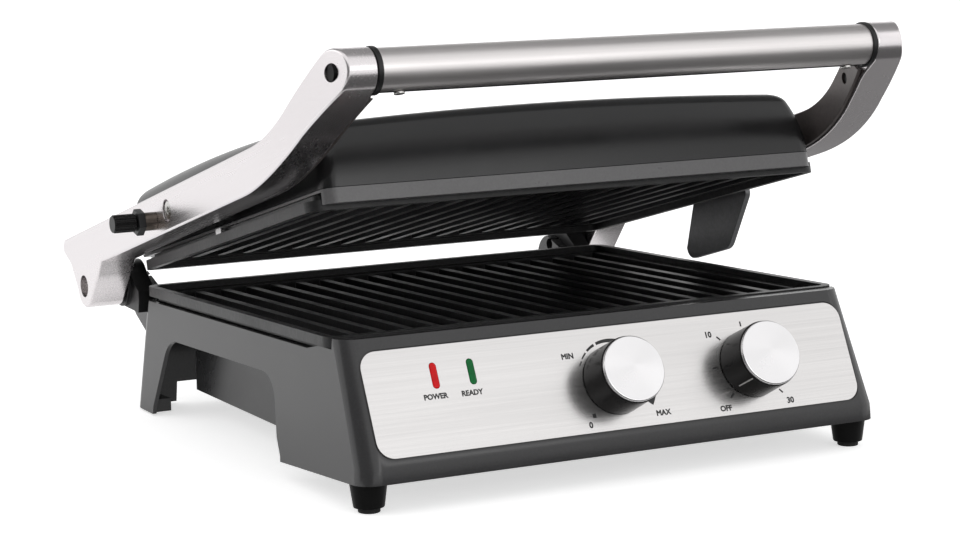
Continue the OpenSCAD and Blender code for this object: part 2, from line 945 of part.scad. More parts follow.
module arm() {
    difference() {
        union() {
            intersection() {
                arm_side(boss_in, arm_out + 1)
                    arm_outline();
                arm_bent(arm_t, 0);
            }
            x_pin(boss_in, arm_in + 1, boss_r - 0.3, -arm_reach, handle_up);
        }
        difference() {
            intersection() {
                arm_side(boss_in, arm_out)
                    arm_pocket_outline();
                arm_bent(arm_t + 6, arm_wall);
            }
            for (p = [[pivot_u, pivot_w], [lock_u, lock_w]])
                x_pin(arm_in - 2, arm_out, 10, -p[0], p[1]);
            x_pin(arm_in - 2, arm_out, 5, -cover_screws[0][0], cover_screws[0][1]);
        }
        // hinge screw, pivot bolt and lock plunger
        x_pin(arm_in - 1, arm_out + 1, pin_r + run_gap, 0, 0);
        x_pin(arm_out - 12, arm_out + 1, hinge_recess_r, 0, 0);
        x_pin(arm_in - 1, arm_out + 1, pin_r + run_gap, -pivot_u, pivot_w);
        x_pin(arm_out - 3, arm_out + 1, 6.6, -pivot_u, pivot_w);
        x_pin(arm_in - 1, arm_out + 1, 2.6 + run_gap, -lock_u, lock_w);
        x_pin(arm_in - 1, arm_out - 6, 5.2, -lock_u, lock_w);
        // plug seat
        x_pin(arm_out - 18, arm_out + 1, 5, -arm_reach, handle_up);
        // screws of the inner cover
        for (p = cover_screws) {
            x_pin(boss_in - 1, arm_inner(p[0]) + 1.2, 3.2, -p[0], p[1]);
            x_pin(boss_in - 1, arm_inner(p[0]) + 12, 1.5, -p[0], p[1]);
        }
    }
}

module left_arm() {
    color("gainsboro")
        hinged(arm_open)
            mirror([1, 0, 0])
                arm();
}

module right_arm() {
    color("gainsboro")
        hinged(arm_open)
            arm();
}

// Dark plate that closes the inner side of an arm
module arm_cover() {
    difference() {
        intersection() {
            arm_side(boss_in - 10, arm_in)
                arm_cover_outline();
            arm_bent(arm_t + cover_t + 0.1, arm_t + 0.1);
        }
        x_pin(arm_in - 10, arm_in + 1, 8.6, -pivot_u, pivot_w);
        x_pin(arm_in - 10, arm_in + 1, 5.4, -lock_u, lock_w);
        for (p = cover_screws)
            x_pin(boss_in - 12, arm_in + 12, 3.4, -p[0], p[1]);
    }
}

module left_arm_cover() {
    color("dimgray")
        hinged(arm_open)
            mirror([1, 0, 0])
                arm_cover();
}

module right_arm_cover() {
    color("dimgray")
        hinged(arm_open)
            arm_cover();
}

module arm_cover_screws() {
    color("black")
        hinged(arm_open)
            both_sides()
                for (p = cover_screws) {
                    x_pin(arm_inner(p[0]) - 0.6, arm_inner(p[0]) + 1.15, 3, -p[0], p[1]);
                    x_pin(arm_inner(p[0]) + 1.1, arm_inner(p[0]) + 10, 1.45, -p[0], p[1]);
                }
}

module hinge_screws() {
    color("silver")
        hinged(arm_open)
            both_sides()
                difference() {
                    union() {
                        x_pin(post_in + 2, arm_out - 8, pin_r, 0, 0);
                        x_pin(arm_out - 12 + eps, arm_out - 8, 6.4, 0, 0);
                    }
                    x_pin(arm_out - 10, arm_out, 2.3, 0, 0, $fn = 6);
                }
}

module pivot_bolts() {
    color("silver")
        hinged(arm_open)
            both_sides()
                difference() {
                    union() {
                        x_pin(lid_half + 1, arm_out - 1, pin_r, -pivot_u, pivot_w);
                        x_pin(arm_out - 3 + eps, arm_out - 0.8, 5.6, -pivot_u, pivot_w);
                    }
                    x_pin(arm_out - 2.4, arm_out, 2.3, -pivot_u, pivot_w, $fn = 6);
                }
}

module arm_plugs() {
    color("#1a1a1a")
        hinged(arm_open)
            both_sides()
                x_pin(arm_out - 18 + eps, arm_out - 13.2, 4.8, -arm_reach, handle_up);
}

module handle_tube() {
    color("gainsboro")
        hinged(arm_open)
            difference() {
                x_pin(-boss_in + ring_w, boss_in - ring_w, tube_r, -arm_reach, handle_up);
                x_pin(-boss_in, boss_in, tube_r - tube_wall, -arm_reach, handle_up);
                translate([-boss_in, -arm_reach - 1.6, handle_up - tube_r - 1])
                    cube([2 * boss_in, 3.2, tube_wall + 2]);
            }
}

module handle_core() {
    color("dimgray")
        hinged(arm_open)
            x_pin(-boss_in + ring_w, boss_in - ring_w, tube_r - tube_wall - set_gap, -arm_reach, handle_up);
}

module handle_rings() {
    color("#1a1a1a")
        hinged(arm_open)
            both_sides()
                x_pin(boss_in - ring_w, boss_in, boss_r + 0.4, -arm_reach, handle_up);
}

module handle_strip() {
    color("#2b2b2b")
        hinged(arm_open)
            difference() {
                translate([-boss_in + ring_w + 2, -arm_reach - 1.5, handle_up - tube_r + 0.1])
                    cube([2 * (boss_in - ring_w - 2), 3, 1.1]);
                for (s = [-1, 1])
                    translate([s * (boss_in - 16), -arm_reach, handle_up - tube_r - 2])
                        cylinder(h = 6, r = 1.6);
            }
}

module handle_screws() {
    color("silver")
        hinged(arm_open)
            for (s = [-1, 1])
                translate([s * (boss_in - 16), -arm_reach, handle_up - tube_r - 1.4]) {
                    cylinder(h = 1.4, r = 3);
                    cylinder(h = 2.6, r = 1.4);
                }
}

// ---- lid ----

// Outer form of the lid over the hinge frame, shrunk by g inside the walls: an arched profile
// from front to rear meets a crowned one from side to side
module lid_form(g, low) {
    intersection() {
        across(-base_w, base_w)
            lid_side_profile(g, low);
        translate([0, base_d, 0])
            rotate([90, 0, 0])
                linear_extrude(2 * base_d + hinge_y)
                    lid_front_profile(g, low);
        translate([0, -(lid_front_u + lid_back_u) / 2, low])
            linear_extrude(lid_h)
                round_rect(2 * (lid_half - g), lid_front_u - lid_back_u - 2 * g, lid_plan_r - g);
    }
}

module lid_side_profile(g, low) {
    edge_z = lid_h - 15.2;
    bulge = asin((edge_z - lid_seam) / (lid_face_r - lid_edge_r));
    edge_y = lid_face_r - lid_front_u - (lid_face_r - lid_edge_r) * cos(bulge);
    arch_r = (-lid_crest_u - edge_y) / sin(arch_tilt);
    arch_z = edge_z - arch_r * cos(arch_tilt);
    rear_y = -lid_back_u - lid_rear_r;
    rear_a = acos((rear_y + lid_crest_u) / (arch_r + lid_edge_r - lid_rear_r));
    rear_z = arch_z + (arch_r + lid_edge_r - lid_rear_r) * sin(rear_a);
    polygon(concat(
        [[-lid_front_u + g, low]],
        arc(lid_face_r - lid_front_u, lid_seam, lid_face_r - g, 180, 180 - bulge, 8),
        arc(edge_y, edge_z, lid_edge_r - g, 180 - bulge, 90 + arch_tilt, 7),
        arc(-lid_crest_u, arch_z, arch_r + lid_edge_r - g, 90 + arch_tilt, rear_a, 10),
        arc(rear_y, rear_z, lid_rear_r - g, rear_a, 0, 7),
        [[-lid_back_u - g, low]]));
}

module lid_front_profile(g, low) {
    edge_z = lid_h - 12;
    bulge = asin((edge_z - lid_seam) / (lid_cheek_r - lid_edge_r));
    edge_x = lid_half - lid_cheek_r + (lid_cheek_r - lid_edge_r) * cos(bulge);
    crown_r = edge_x / sin(crown_tilt);
    crown_z = edge_z - crown_r * cos(crown_tilt);
    half = concat(
        arc(lid_half - lid_cheek_r, lid_seam, lid_cheek_r - g, 0, bulge, 6),
        arc(edge_x, edge_z, lid_edge_r - g, bulge, 90 - crown_tilt, 7),
        arc(0, crown_z, crown_r + lid_edge_r - g, 90 - crown_tilt, 90, 6));
    for (s = [-1, 1])
        polygon(concat([[0, low], [s * (lid_half - g), low]], [for (p = half) [s * p[0], p[1]]]));
}

module lid_housing() {
    color("dimgray")
        difference() {
            hinged(lid_open)
                difference() {
                    lid_form(0, lid_seam);
                    lid_notches(0);
                    difference() {
                        lid_form(wall, lid_seam - eps);
                        lid_notches(wall);
                        lid_bores(lid_boss_r, 0, lid_h);
                    }
                    lid_bores(screw_r + 0.05, 0, frame_low + 10);
                }
            hinged(arm_open)
                both_sides()
                    x_pin(lid_half - 12, lid_half + 12, 6 + set_gap, -pivot_u, pivot_w);
        }
}

// Upright bores or bosses at the screws that join the frame to the lid
module lid_bores(r, low, top) {
    for (x = [-1, 1], u = lid_screw_u)
        translate([x * lid_screw_x, -u, low])
            cylinder(h = top - low, r = r);
}

// Rounded rear corners of the lid, which clear the posts and lugs when it opens flat
module lid_notches(g) {
    both_sides()
        x_pin(post_in - lug_t - 2 - g, base_w, lug_r + lug_drop + 2.5 + g, 0, 0);
}

// Lower frame of the lid: carries the plate, and its front lip hides the plate rim
module lid_frame() {
    color("gray")
        hinged(lid_open)
            difference() {
                translate([0, -(lid_front_u + lid_back_u) / 2, upper_rim_w + 2.9])
                    linear_extrude(frame_h)
                        round_rect(2 * lid_half, lid_front_u - lid_back_u, lid_plan_r);
                // sides and rear stop higher than the front lip
                across(-base_w, base_w)
                    polygon([[20, -20], [20, frame_low], [-lid_front_u + 40, frame_low],
                        [-lid_front_u + 24, upper_rim_w + 2], [-lid_front_u + 24, -20]]);
                // room for the upper plate
                translate([0, -hinge_y, upper_rim_w - 1])
                    linear_extrude(rim_top - web_z + 1 + move_gap)
                        plate_plan(move_gap, upper_front);
                translate([0, -hinge_y, upper_rim_w])
                    linear_extrude(40)
                        plate_plan(move_gap - tub_in, upper_front);
                lid_notches(0);
                lid_bores(screw_r + 0.05, 0, lid_h);
                lid_bores(screw_head_r + set_gap, 0, frame_low);
            }
}

// Bushes on the sides of the lid that turn on the pivot bolts
module pivot_bushes() {
    color("#1a1a1a")
        hinged(arm_open)
            both_sides()
                difference() {
                    union() {
                        x_pin(lid_half + 0.05, arm_in - 0.5, 8, -pivot_u, pivot_w);
                        x_pin(lid_half - 5, lid_half + 0.06, 6, -pivot_u, pivot_w);
                    }
                    x_pin(lid_half - 6, arm_in + 1, pin_r + run_gap, -pivot_u, pivot_w);
                }
}

module lid_screws() {
    color("silver")
        hinged(lid_open)
            union() {
                lid_bores(screw_r, frame_low - eps, frame_low + 9);
                lid_bores(screw_head_r, frame_low - screw_head_h, frame_low);
            }
}

// Small steel clips under the frame that hook over the rim of the upper plate
module plate_clips() {
    rim_back = upper_rim_w + rim_t + 0.05;
    clip_out = 4.4;
    clip_w = 8;
    clip_t = 0.7;
    color("darkgray")
        hinged(lid_open)
            both_sides()
                translate([0, -170, frame_low - 0.05])
                    mirror([0, 0, 1]) {
                        translate([lid_half - wall, 0, 0])
                            cube([clip_out + wall, clip_w, clip_t]);
                        translate([lid_half + clip_out - 1.5, 0, 0])
                            cube([1.5, clip_w, frame_low - 0.05 - rim_back]);
                    }
}

// ---- lock plunger and height lever ----

module lock_sleeve() {
    color("#3a3634")
        hinged(arm_open)
            mirror([1, 0, 0])
                difference() {
                    x_pin(arm_out, arm_out + 8, 5.5, -lock_u, lock_w);
                    x_pin(arm_out - 1, arm_out + 9, 2.6 + run_gap, -lock_u, lock_w);
                }
}

module lock_collar() {
    color("#101010")
        hinged(arm_open)
            mirror([1, 0, 0])
                difference() {
                    x_pin(arm_out + 8, arm_out + 12.5, 8.2, -lock_u, lock_w, $fn = 6);
                    x_pin(arm_out + 7, arm_out + 14, 2.6 + run_gap, -lock_u, lock_w);
                }
}

module lock_knob() {
    color("#101010")
        hinged(arm_open)
            mirror([1, 0, 0]) {
                x_pin(arm_out + 13, arm_out + 27, 4.9, -lock_u, lock_w);
                for (a = [0:30:330])
                    translate([0, -lock_u, lock_w])
                        rotate([a, 0, 0])
                            x_pin(arm_out + 13.5, arm_out + 26.4, 0.9, 4.6, 0, $fn = 13);
                x_pin(arm_in - 4, arm_out + 13.1, 2.6, -lock_u, lock_w);
                x_pin(arm_in + 3, arm_in + 4.5, 4.4, -lock_u, lock_w);
            }
}

// Spring round the plunger pin: five coils on a light bar
module lock_spring() {
    pitch = 2.3;
    color("silver")
        hinged(arm_open)
            mirror([1, 0, 0])
                translate([arm_in + 5, -lock_u, lock_w])
                    rotate([0, 90, 0]) {
                        for (i = [0:4])
                            translate([0, 0, 0.6 + i * pitch])
                                rotate_extrude()
                                    translate([3.9, 0])
                                        circle(0.5);
                        translate([3.9, 0, 0.6])
                            cylinder(h = 4 * pitch, r = 0.3);
                    }
}

module lever_outline() {
    polygon(concat(
        arc(pivot_u - 11, -20, 11, 270, 315, 4),
        arc(lock_u + 40, 2, 5, -45, 90, 6),
        arc(lock_u, lock_w, 11, 60, 180, 8),
        arc(lock_u - 28, -23, 8, 180, 270, 4)));
}

module height_lever() {
    color("dimgray")
        hinged(arm_open)
            difference() {
                arm_side(arm_out + move_gap, lever_out)
                    lever_outline();
                x_pin(arm_out, arm_out + 9, 2.6 + run_gap, -lock_u, lock_w);
            }
}

module lever_screw() {
    color("silver")
        hinged(arm_open) {
            x_pin(arm_out - 5, lever_out + 0.4, 2.6, -lock_u, lock_w);
            x_pin(lever_out + 0.3, lever_out + 2.5, 5.2, -lock_u, lock_w);
        }
}

base_housing();
bottom_pan();
control_panel();
power_lens();
ready_lens();
indicator_lamps();
thermostat_body();
timer_body();
thermostat_spindle();
thermostat_knob();
thermostat_cap();
timer_spindle();
timer_knob();
timer_cap();
lower_plate();
drain_spout();
lower_heater();
lower_reflector();
terminal_block();
base_wiring();
cord_gland();
front_feet();
foot_nubs();
rear_pads();
bottom_screws();
hinge_posts();
drip_tray();
left_arm();
right_arm();
left_arm_cover();
right_arm_cover();
arm_cover_screws();
hinge_screws();
pivot_bolts();
arm_plugs();
handle_tube();
handle_core();
handle_rings();
handle_strip();
handle_screws();
lid_housing();
lid_frame();
upper_plate();
upper_heater();
upper_reflector();
pivot_bushes();
lid_screws();
plate_clips();
lock_sleeve();
lock_collar();
lock_knob();
lock_spring();
height_lever();
lever_screw();
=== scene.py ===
import json
from math import cos, pi, radians, sin

import bmesh
import bpy
from mathutils import Matrix, Vector

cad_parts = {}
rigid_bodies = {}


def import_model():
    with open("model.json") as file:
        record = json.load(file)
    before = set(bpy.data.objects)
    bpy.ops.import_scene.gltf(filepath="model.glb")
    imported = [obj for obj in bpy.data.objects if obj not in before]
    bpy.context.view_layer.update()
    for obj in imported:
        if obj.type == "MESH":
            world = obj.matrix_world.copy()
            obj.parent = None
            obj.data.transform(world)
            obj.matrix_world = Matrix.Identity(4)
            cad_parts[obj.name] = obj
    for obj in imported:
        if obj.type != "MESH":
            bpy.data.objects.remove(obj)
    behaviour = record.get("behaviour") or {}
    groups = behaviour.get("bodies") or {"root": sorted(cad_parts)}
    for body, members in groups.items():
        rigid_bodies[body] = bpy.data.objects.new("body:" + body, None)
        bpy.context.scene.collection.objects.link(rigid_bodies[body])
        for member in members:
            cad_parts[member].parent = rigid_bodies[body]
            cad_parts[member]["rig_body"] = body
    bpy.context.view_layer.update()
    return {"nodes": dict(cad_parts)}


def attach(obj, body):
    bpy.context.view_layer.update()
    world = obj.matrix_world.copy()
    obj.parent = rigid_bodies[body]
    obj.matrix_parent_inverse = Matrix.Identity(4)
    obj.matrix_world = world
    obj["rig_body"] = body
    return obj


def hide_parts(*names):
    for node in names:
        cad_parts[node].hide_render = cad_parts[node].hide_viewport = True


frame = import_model()

# ------------------------------------------------------------
# Base housing. The real piece is one injection moulding in dark grey ABS with a satin spark
# finish: a wedge-shaped body with a hand hole through both sides and four corner legs.
# Every moulded or stamped piece below is brought over in this way, with its edges rounded.
# ------------------------------------------------------------
MM = 0.001


def dressed(name, nodes, material, radius, segments=2, sharp=30.0):
    """One visible piece from CAD nodes of one body: joined up, and rounded at its sharp edges."""
    bm = bmesh.new()
    for node in nodes:
        bm.from_mesh(frame["nodes"][node].data)
    bmesh.ops.remove_doubles(bm, verts=bm.verts, dist=0.012 * MM)
    bmesh.ops.dissolve_degenerate(bm, edges=bm.edges, dist=0.01 * MM)
    bmesh.ops.dissolve_limit(bm, angle_limit=radians(0.8), verts=bm.verts, edges=bm.edges)
    if radius:
        edges = [e for e in bm.edges if e.is_manifold and e.calc_face_angle(0.0) > radians(sharp)]
        bmesh.ops.bevel(bm, geom=edges, offset=radius * MM, offset_type="OFFSET", affect="EDGES",
                        segments=segments, profile=0.5, material=-1, clamp_overlap=True)
    placed(name, bm, nodes, material, sharp)


def placed(name, bm, nodes, material, sharp=30.0, body=None):
    """Makes the object of a finished mesh, shaded smooth but for its sharp edges, on its body."""
    for f in bm.faces:
        f.smooth = True
    for e in bm.edges:
        e.smooth = not e.is_manifold or e.calc_face_angle(0.0) < radians(sharp + 8)
    mesh = bpy.data.meshes.new(name)
    bm.to_mesh(mesh)
    bm.free()
    obj = bpy.data.objects.new(name, mesh)
    bpy.context.scene.collection.objects.link(obj)
    obj.data.materials.append(material)
    weighted = obj.modifiers.new("weighted", "WEIGHTED_NORMAL")
    weighted.keep_sharp = True
    weighted.weight = 60
    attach(obj, body or frame["nodes"][nodes[0]]["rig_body"])
    if nodes:
        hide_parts(*nodes)


def node(tree, kind, values=(), **settings):
    """Adds a shader node with its settings and the values of its named inputs."""
    n = tree.nodes.new("ShaderNode" + kind)
    for key, value in settings.items():
        setattr(n, key, value)
    for key, value in dict(values).items():
        n.inputs[key].default_value = value
    return n


def group_of(name, inputs, outputs):
    """An empty shader group and its two end nodes. An input whose value is None is a vector, and
    all the others are floats."""
    tree = bpy.data.node_groups.new(name, "ShaderNodeTree")
    for socket, value in inputs:
        kind = "NodeSocketVector" if value is None else "NodeSocketFloat"
        made = tree.interface.new_socket(socket, in_out="INPUT", socket_type=kind)
        if value is not None:
            made.default_value = value
    for socket in outputs:
        tree.interface.new_socket(socket, in_out="OUTPUT", socket_type="NodeSocketFloat")
    return tree, tree.nodes.new("NodeGroupInput"), tree.nodes.new("NodeGroupOutput")


def grain_group():
    """Spark-eroded or cast grain: a height, and a shade that flickers about 1."""
    tree, start, end = group_of("fine_grain", [("Scale", 900.0), ("Contrast", 0.2)],
                                ["Height", "Shade"])
    place = node(tree, "TexCoord")
    fine = node(tree, "TexNoise", {"Detail": 3.0, "Roughness": 0.65})
    double = node(tree, "Math", {1: 0.31}, operation="MULTIPLY")
    broad = node(tree, "TexNoise", {"Detail": 2.0, "Roughness": 0.5})
    both = node(tree, "Math", operation="ADD")
    low = node(tree, "Math", {0: 1.0}, operation="SUBTRACT")
    high = node(tree, "Math", {0: 1.0}, operation="ADD")
    spread = node(tree, "MapRange", {"From Min": 0.7, "From Max": 1.3})
    link = tree.links.new
    link(place.outputs["Object"], fine.inputs["Vector"])
    link(place.outputs["Object"], broad.inputs["Vector"])
    link(start.outputs["Scale"], fine.inputs["Scale"])
    link(start.outputs["Scale"], double.inputs[0])
    link(double.outputs[0], broad.inputs["Scale"])
    link(fine.outputs["Fac"], both.inputs[0])
    link(broad.outputs["Fac"], both.inputs[1])
    link(start.outputs["Contrast"], low.inputs[1])
    link(start.outputs["Contrast"], high.inputs[1])
    link(both.outputs[0], spread.inputs["Value"])
    link(low.outputs[0], spread.inputs["To Min"])
    link(high.outputs[0], spread.inputs["To Max"])
    link(both.outputs[0], end.inputs["Height"])
    link(spread.outputs["Result"], end.inputs["Shade"])
    return tree


def handled_group():
    """Handling marks and dust: soft patches for roughness, and a mask of dust on level faces."""
    tree, start, end = group_of("handling", [("Low", 0.3), ("High", 0.4), ("Size", 14.0)],
                                ["Roughness", "Dust"])
    place = node(tree, "TexCoord")
    patch = node(tree, "TexNoise", {"Detail": 5.0, "Roughness": 0.62, "Distortion": 0.4})
    level = node(tree, "MapRange", {"From Min": 0.34, "From Max": 0.66})
    surface = node(tree, "NewGeometry")
    split = node(tree, "SeparateXYZ")
    facing = node(tree, "MapRange", {"From Min": 0.75, "From Max": 1.0})
    specks = node(tree, "TexNoise", {"Scale": 420.0, "Detail": 6.0, "Roughness": 0.75})
    only = node(tree, "MapRange", {"From Min": 0.56, "From Max": 0.74, "To Max": 0.6})
    dust = node(tree, "Math", operation="MULTIPLY")
    link = tree.links.new
    link(place.outputs["Object"], patch.inputs["Vector"])
    link(place.outputs["Object"], specks.inputs["Vector"])
    link(start.outputs["Size"], patch.inputs["Scale"])
    link(patch.outputs["Fac"], level.inputs["Value"])
    link(start.outputs["Low"], level.inputs["To Min"])
    link(start.outputs["High"], level.inputs["To Max"])
    link(surface.outputs["Normal"], split.inputs["Vector"])
    link(split.outputs["Z"], facing.inputs["Value"])
    link(specks.outputs["Fac"], only.inputs["Value"])
    link(facing.outputs["Result"], dust.inputs[0])
    link(only.outputs["Result"], dust.inputs[1])
    link(level.outputs["Result"], end.inputs["Roughness"])
    link(dust.outputs[0], end.inputs["Dust"])
    return tree


fine_grain = grain_group()
handling = handled_group()


def grained(name, colour, rough, grain, bump, contrast=0.15, metallic=0.0, size=14.0,
            dust=(0.5, 0.5, 0.48), coat=0.0, specular=0.5):
    """A moulded, cast or coated finish: grain in the surface, marks of handling, a little dust."""
    mat = bpy.data.materials.new(name)
    mat.use_nodes = True
    tree = mat.node_tree
    shader = tree.nodes["Principled BSDF"]
    shader.inputs["Metallic"].default_value = metallic
    shader.inputs["Specular IOR Level"].default_value = specular
    shader.inputs["Coat Weight"].default_value = coat
    shader.inputs["Coat Roughness"].default_value = 0.12
    relief = node(tree, "Group", node_tree=fine_grain)
    relief.inputs["Scale"].default_value = grain
    relief.inputs["Contrast"].default_value = contrast
    marks = node(tree, "Group", node_tree=handling)
    for socket, value in zip(("Low", "High", "Size"), (*rough, size)):
        marks.inputs[socket].default_value = value
    tint = node(tree, "Mix", {6: (*colour, 1.0)}, data_type="RGBA", blend_type="MULTIPLY")
    tint.inputs["Factor"].default_value = 1.0
    dusty = node(tree, "Mix", {7: (*dust, 1.0)}, data_type="RGBA")
    faint = node(tree, "Math", {1: 0.22}, operation="MULTIPLY")
    bump_node = node(tree, "Bump", {"Strength": 0.35, "Distance": bump * MM})
    link = tree.links.new
    link(relief.outputs["Shade"], tint.inputs[7])
    link(marks.outputs["Dust"], faint.inputs[0])
    link(faint.outputs[0], dusty.inputs["Factor"])
    link(tint.outputs[2], dusty.inputs[6])
    link(dusty.outputs[2], shader.inputs["Base Color"])
    link(marks.outputs["Roughness"], shader.inputs["Roughness"])
    link(relief.outputs["Height"], bump_node.inputs["Height"])
    link(bump_node.outputs["Normal"], shader.inputs["Normal"])
    return mat


housing_plastic = grained("housing_plastic", (0.034, 0.0335, 0.035), (0.2, 0.27), 2600.0, 0.02,
                          0.1, specular=0.55)
dressed("base_shell", ["base_housing"], housing_plastic, 0.9, 3)

# ------------------------------------------------------------
# Bottom pan and drip tray. The pan is a black polypropylene moulding, screwed in from below. The
# tray is pressed aluminium with a black baked coat, and it slides in over the pan's floor.
# ------------------------------------------------------------
pan_plastic = grained("pan_plastic", (0.03, 0.03, 0.031), (0.26, 0.34), 1900.0, 0.03)
dressed("pan", ["bottom_pan"], pan_plastic, 0.6)
tray_enamel = grained("tray_enamel", (0.03, 0.03, 0.031), (0.3, 0.42), 1500.0, 0.05)
dressed("tray_body", ["drip_tray"], tray_enamel, 0.7)

# ------------------------------------------------------------
# Feet. Black ABS cones under the front corners end in moulded rubber nubs, and the rear legs
# stand on thin rubber pads that are pressed on.
# ------------------------------------------------------------
foot_plastic = grained("foot_plastic", (0.003, 0.003, 0.003), (0.3, 0.4), 1700.0, 0.03,
                       specular=0.08)
rubber = grained("foot_rubber", (0.014, 0.014, 0.014), (0.6, 0.75), 2400.0, 0.06,
                 dust=(0.3, 0.3, 0.29), specular=0.3)
dressed("feet", ["front_feet"], foot_plastic, 0.7)
dressed("nubs", ["foot_nubs"], rubber, 0.5)
dressed("pads", ["rear_pads"], rubber, 0.25)

# ------------------------------------------------------------
# Control panel. A 1.2 mm stainless sheet with rounded corners, blanked and brushed from side to
# side, and glued into the recess of the front face. Its scale marks are screen printed in black.
# ------------------------------------------------------------
FALL, LEAN = radians(2.0), radians(23.9)
FALL_LINE, MIDDLE = 17.0, 171.0
FACE_FOOT = (0.9, 25.7)


def on_deck(x, y, z):
    """A point in millimetres from the base's front edge, with z square to the deck, as a point on
    the worktop frame in metres. The deck falls to the rear about a line near its front."""
    back = y - FALL_LINE
    return Vector((x, FALL_LINE - MIDDLE + back * cos(FALL) + z * sin(FALL),
                   -back * sin(FALL) + z * cos(FALL))) * MM


def on_panel(x, s, h):
    """A point x across, s up and h out of the control face."""
    return on_deck(x, FACE_FOOT[0] + s * sin(LEAN) - h * cos(LEAN),
                   FACE_FOOT[1] + s * cos(LEAN) + h * sin(LEAN))


ACROSS = Vector((1, 0, 0))
UP_FACE = (on_panel(0, 1, 0) - on_panel(0, 0, 0)).normalized()
OUT_OF_FACE = ACROSS.cross(UP_FACE)
FACE = Matrix((ACROSS, UP_FACE, OUT_OF_FACE)).transposed()


def streak_group():
    """Brushing lines along the local X of the vector it is given."""
    tree, start, end = group_of(
        "brushing", [("Vector", None), ("Low", 0.2), ("High", 0.35), ("Contrast", 0.1)],
        ["Height", "Shade", "Roughness"])
    stretch = node(tree, "Mapping", {"Scale": (9.0, 1500.0, 1500.0)})
    lines = node(tree, "TexNoise", {"Scale": 1.0, "Detail": 4.0, "Roughness": 0.7})
    longer = node(tree, "Mapping", {"Scale": (5.0, 620.0, 620.0)})
    bands = node(tree, "TexNoise", {"Scale": 1.0, "Detail": 3.0, "Roughness": 0.6})
    cloud = node(tree, "TexNoise", {"Scale": 11.0, "Detail": 4.0, "Roughness": 0.6})
    both = node(tree, "Math", operation="ADD")
    low = node(tree, "Math", {0: 1.0}, operation="SUBTRACT")
    shade = node(tree, "MapRange", {"From Min": 0.75, "From Max": 1.25, "To Max": 1.0})
    mixed = node(tree, "Mix", {"Factor": 0.5}, data_type="FLOAT")
    rough = node(tree, "MapRange", {"From Min": 0.35, "From Max": 0.65})
    link = tree.links.new
    for mapping, noise in ((stretch, lines), (longer, bands)):
        link(start.outputs["Vector"], mapping.inputs["Vector"])
        link(mapping.outputs["Vector"], noise.inputs["Vector"])
    link(start.outputs["Vector"], cloud.inputs["Vector"])
    link(lines.outputs["Fac"], both.inputs[0])
    link(bands.outputs["Fac"], both.inputs[1])
    link(both.outputs[0], shade.inputs["Value"])
    link(start.outputs["Contrast"], low.inputs[1])
    link(low.outputs[0], shade.inputs["To Min"])
    link(bands.outputs["Fac"], mixed.inputs[2])
    link(cloud.outputs["Fac"], mixed.inputs[3])
    link(mixed.outputs[0], rough.inputs["Value"])
    link(start.outputs["Low"], rough.inputs["To Min"])
    link(start.outputs["High"], rough.inputs["To Max"])
    link(lines.outputs["Fac"], end.inputs["Height"])
    link(shade.outputs["Result"], end.inputs["Shade"])
    link(rough.outputs["Result"], end.inputs["Roughness"])
    return tree


brushing = streak_group()


def brushed(name, colour, rough, contrast, turn=(0.0, 0.0, 0.0), anisotropic=0.5, bump=0.006):
    """Brushed metal. The turn brings the local X of the pattern on to the brushing direction."""
    mat = bpy.data.materials.new(name)
    mat.use_nodes = True
    tree = mat.node_tree
    shader = tree.nodes["Principled BSDF"]
    shader.inputs["Metallic"].default_value = 1.0
    shader.inputs["Anisotropic"].default_value = anisotropic
    place = node(tree, "TexCoord")
    turned = node(tree, "Mapping", {"Rotation": turn})
    lines = node(tree, "Group", node_tree=brushing)
    for socket, value in zip(("Low", "High", "Contrast"), (*rough, contrast)):
        lines.inputs[socket].default_value = value
    tint = node(tree, "Mix", {6: (*colour, 1.0)}, data_type="RGBA", blend_type="MULTIPLY")
    tint.inputs["Factor"].default_value = 1.0
    bump_node = node(tree, "Bump", {"Strength": 0.25, "Distance": bump * MM})
    link = tree.links.new
    link(place.outputs["Object"], turned.inputs["Vector"])
    link(turned.outputs["Vector"], lines.inputs["Vector"])
    link(lines.outputs["Shade"], tint.inputs[7])
    link(tint.outputs[2], shader.inputs["Base Color"])
    link(lines.outputs["Roughness"], shader.inputs["Roughness"])
    link(lines.outputs["Height"], bump_node.inputs["Height"])
    link(bump_node.outputs["Normal"], shader.inputs["Normal"])
    return mat


panel_steel = brushed("panel_steel", (0.74, 0.725, 0.72), (0.22, 0.26), 0.07, anisotropic=0.2)
dressed("panel", ["control_panel"], panel_steel, 0.3)

panel_ink = bpy.data.materials.new("panel_ink")
panel_ink.use_nodes = True
ink_tree = panel_ink.node_tree
ink_spread = node(ink_tree, "Group", node_tree=fine_grain)
ink_spread.inputs["Scale"].default_value = 2500.0
ink_rough = node(ink_tree, "MapRange",
                 {"From Min": 0.8, "From Max": 1.2, "To Min": 0.35, "To Max": 0.6})
ink_colour = node(ink_tree, "Mix", {6: (0.012, 0.012, 0.013, 1), 7: (0.03, 0.03, 0.031, 1)},
                  data_type="RGBA")
ink_shader = ink_tree.nodes["Principled BSDF"]
link = ink_tree.links.new
link(ink_spread.outputs["Shade"], ink_rough.inputs["Value"])
link(ink_rough.outputs["Result"], ink_colour.inputs["Factor"])
link(ink_colour.outputs[2], ink_shader.inputs["Base Color"])
link(ink_rough.outputs["Result"], ink_shader.inputs["Roughness"])

PANEL_TOP = 0.4
CONTROLS_S = 33.5
KNOB_AT = {"thermostat": -4.0, "timer": 88.0}
INK_THICK = 0.08
ink = bmesh.new()


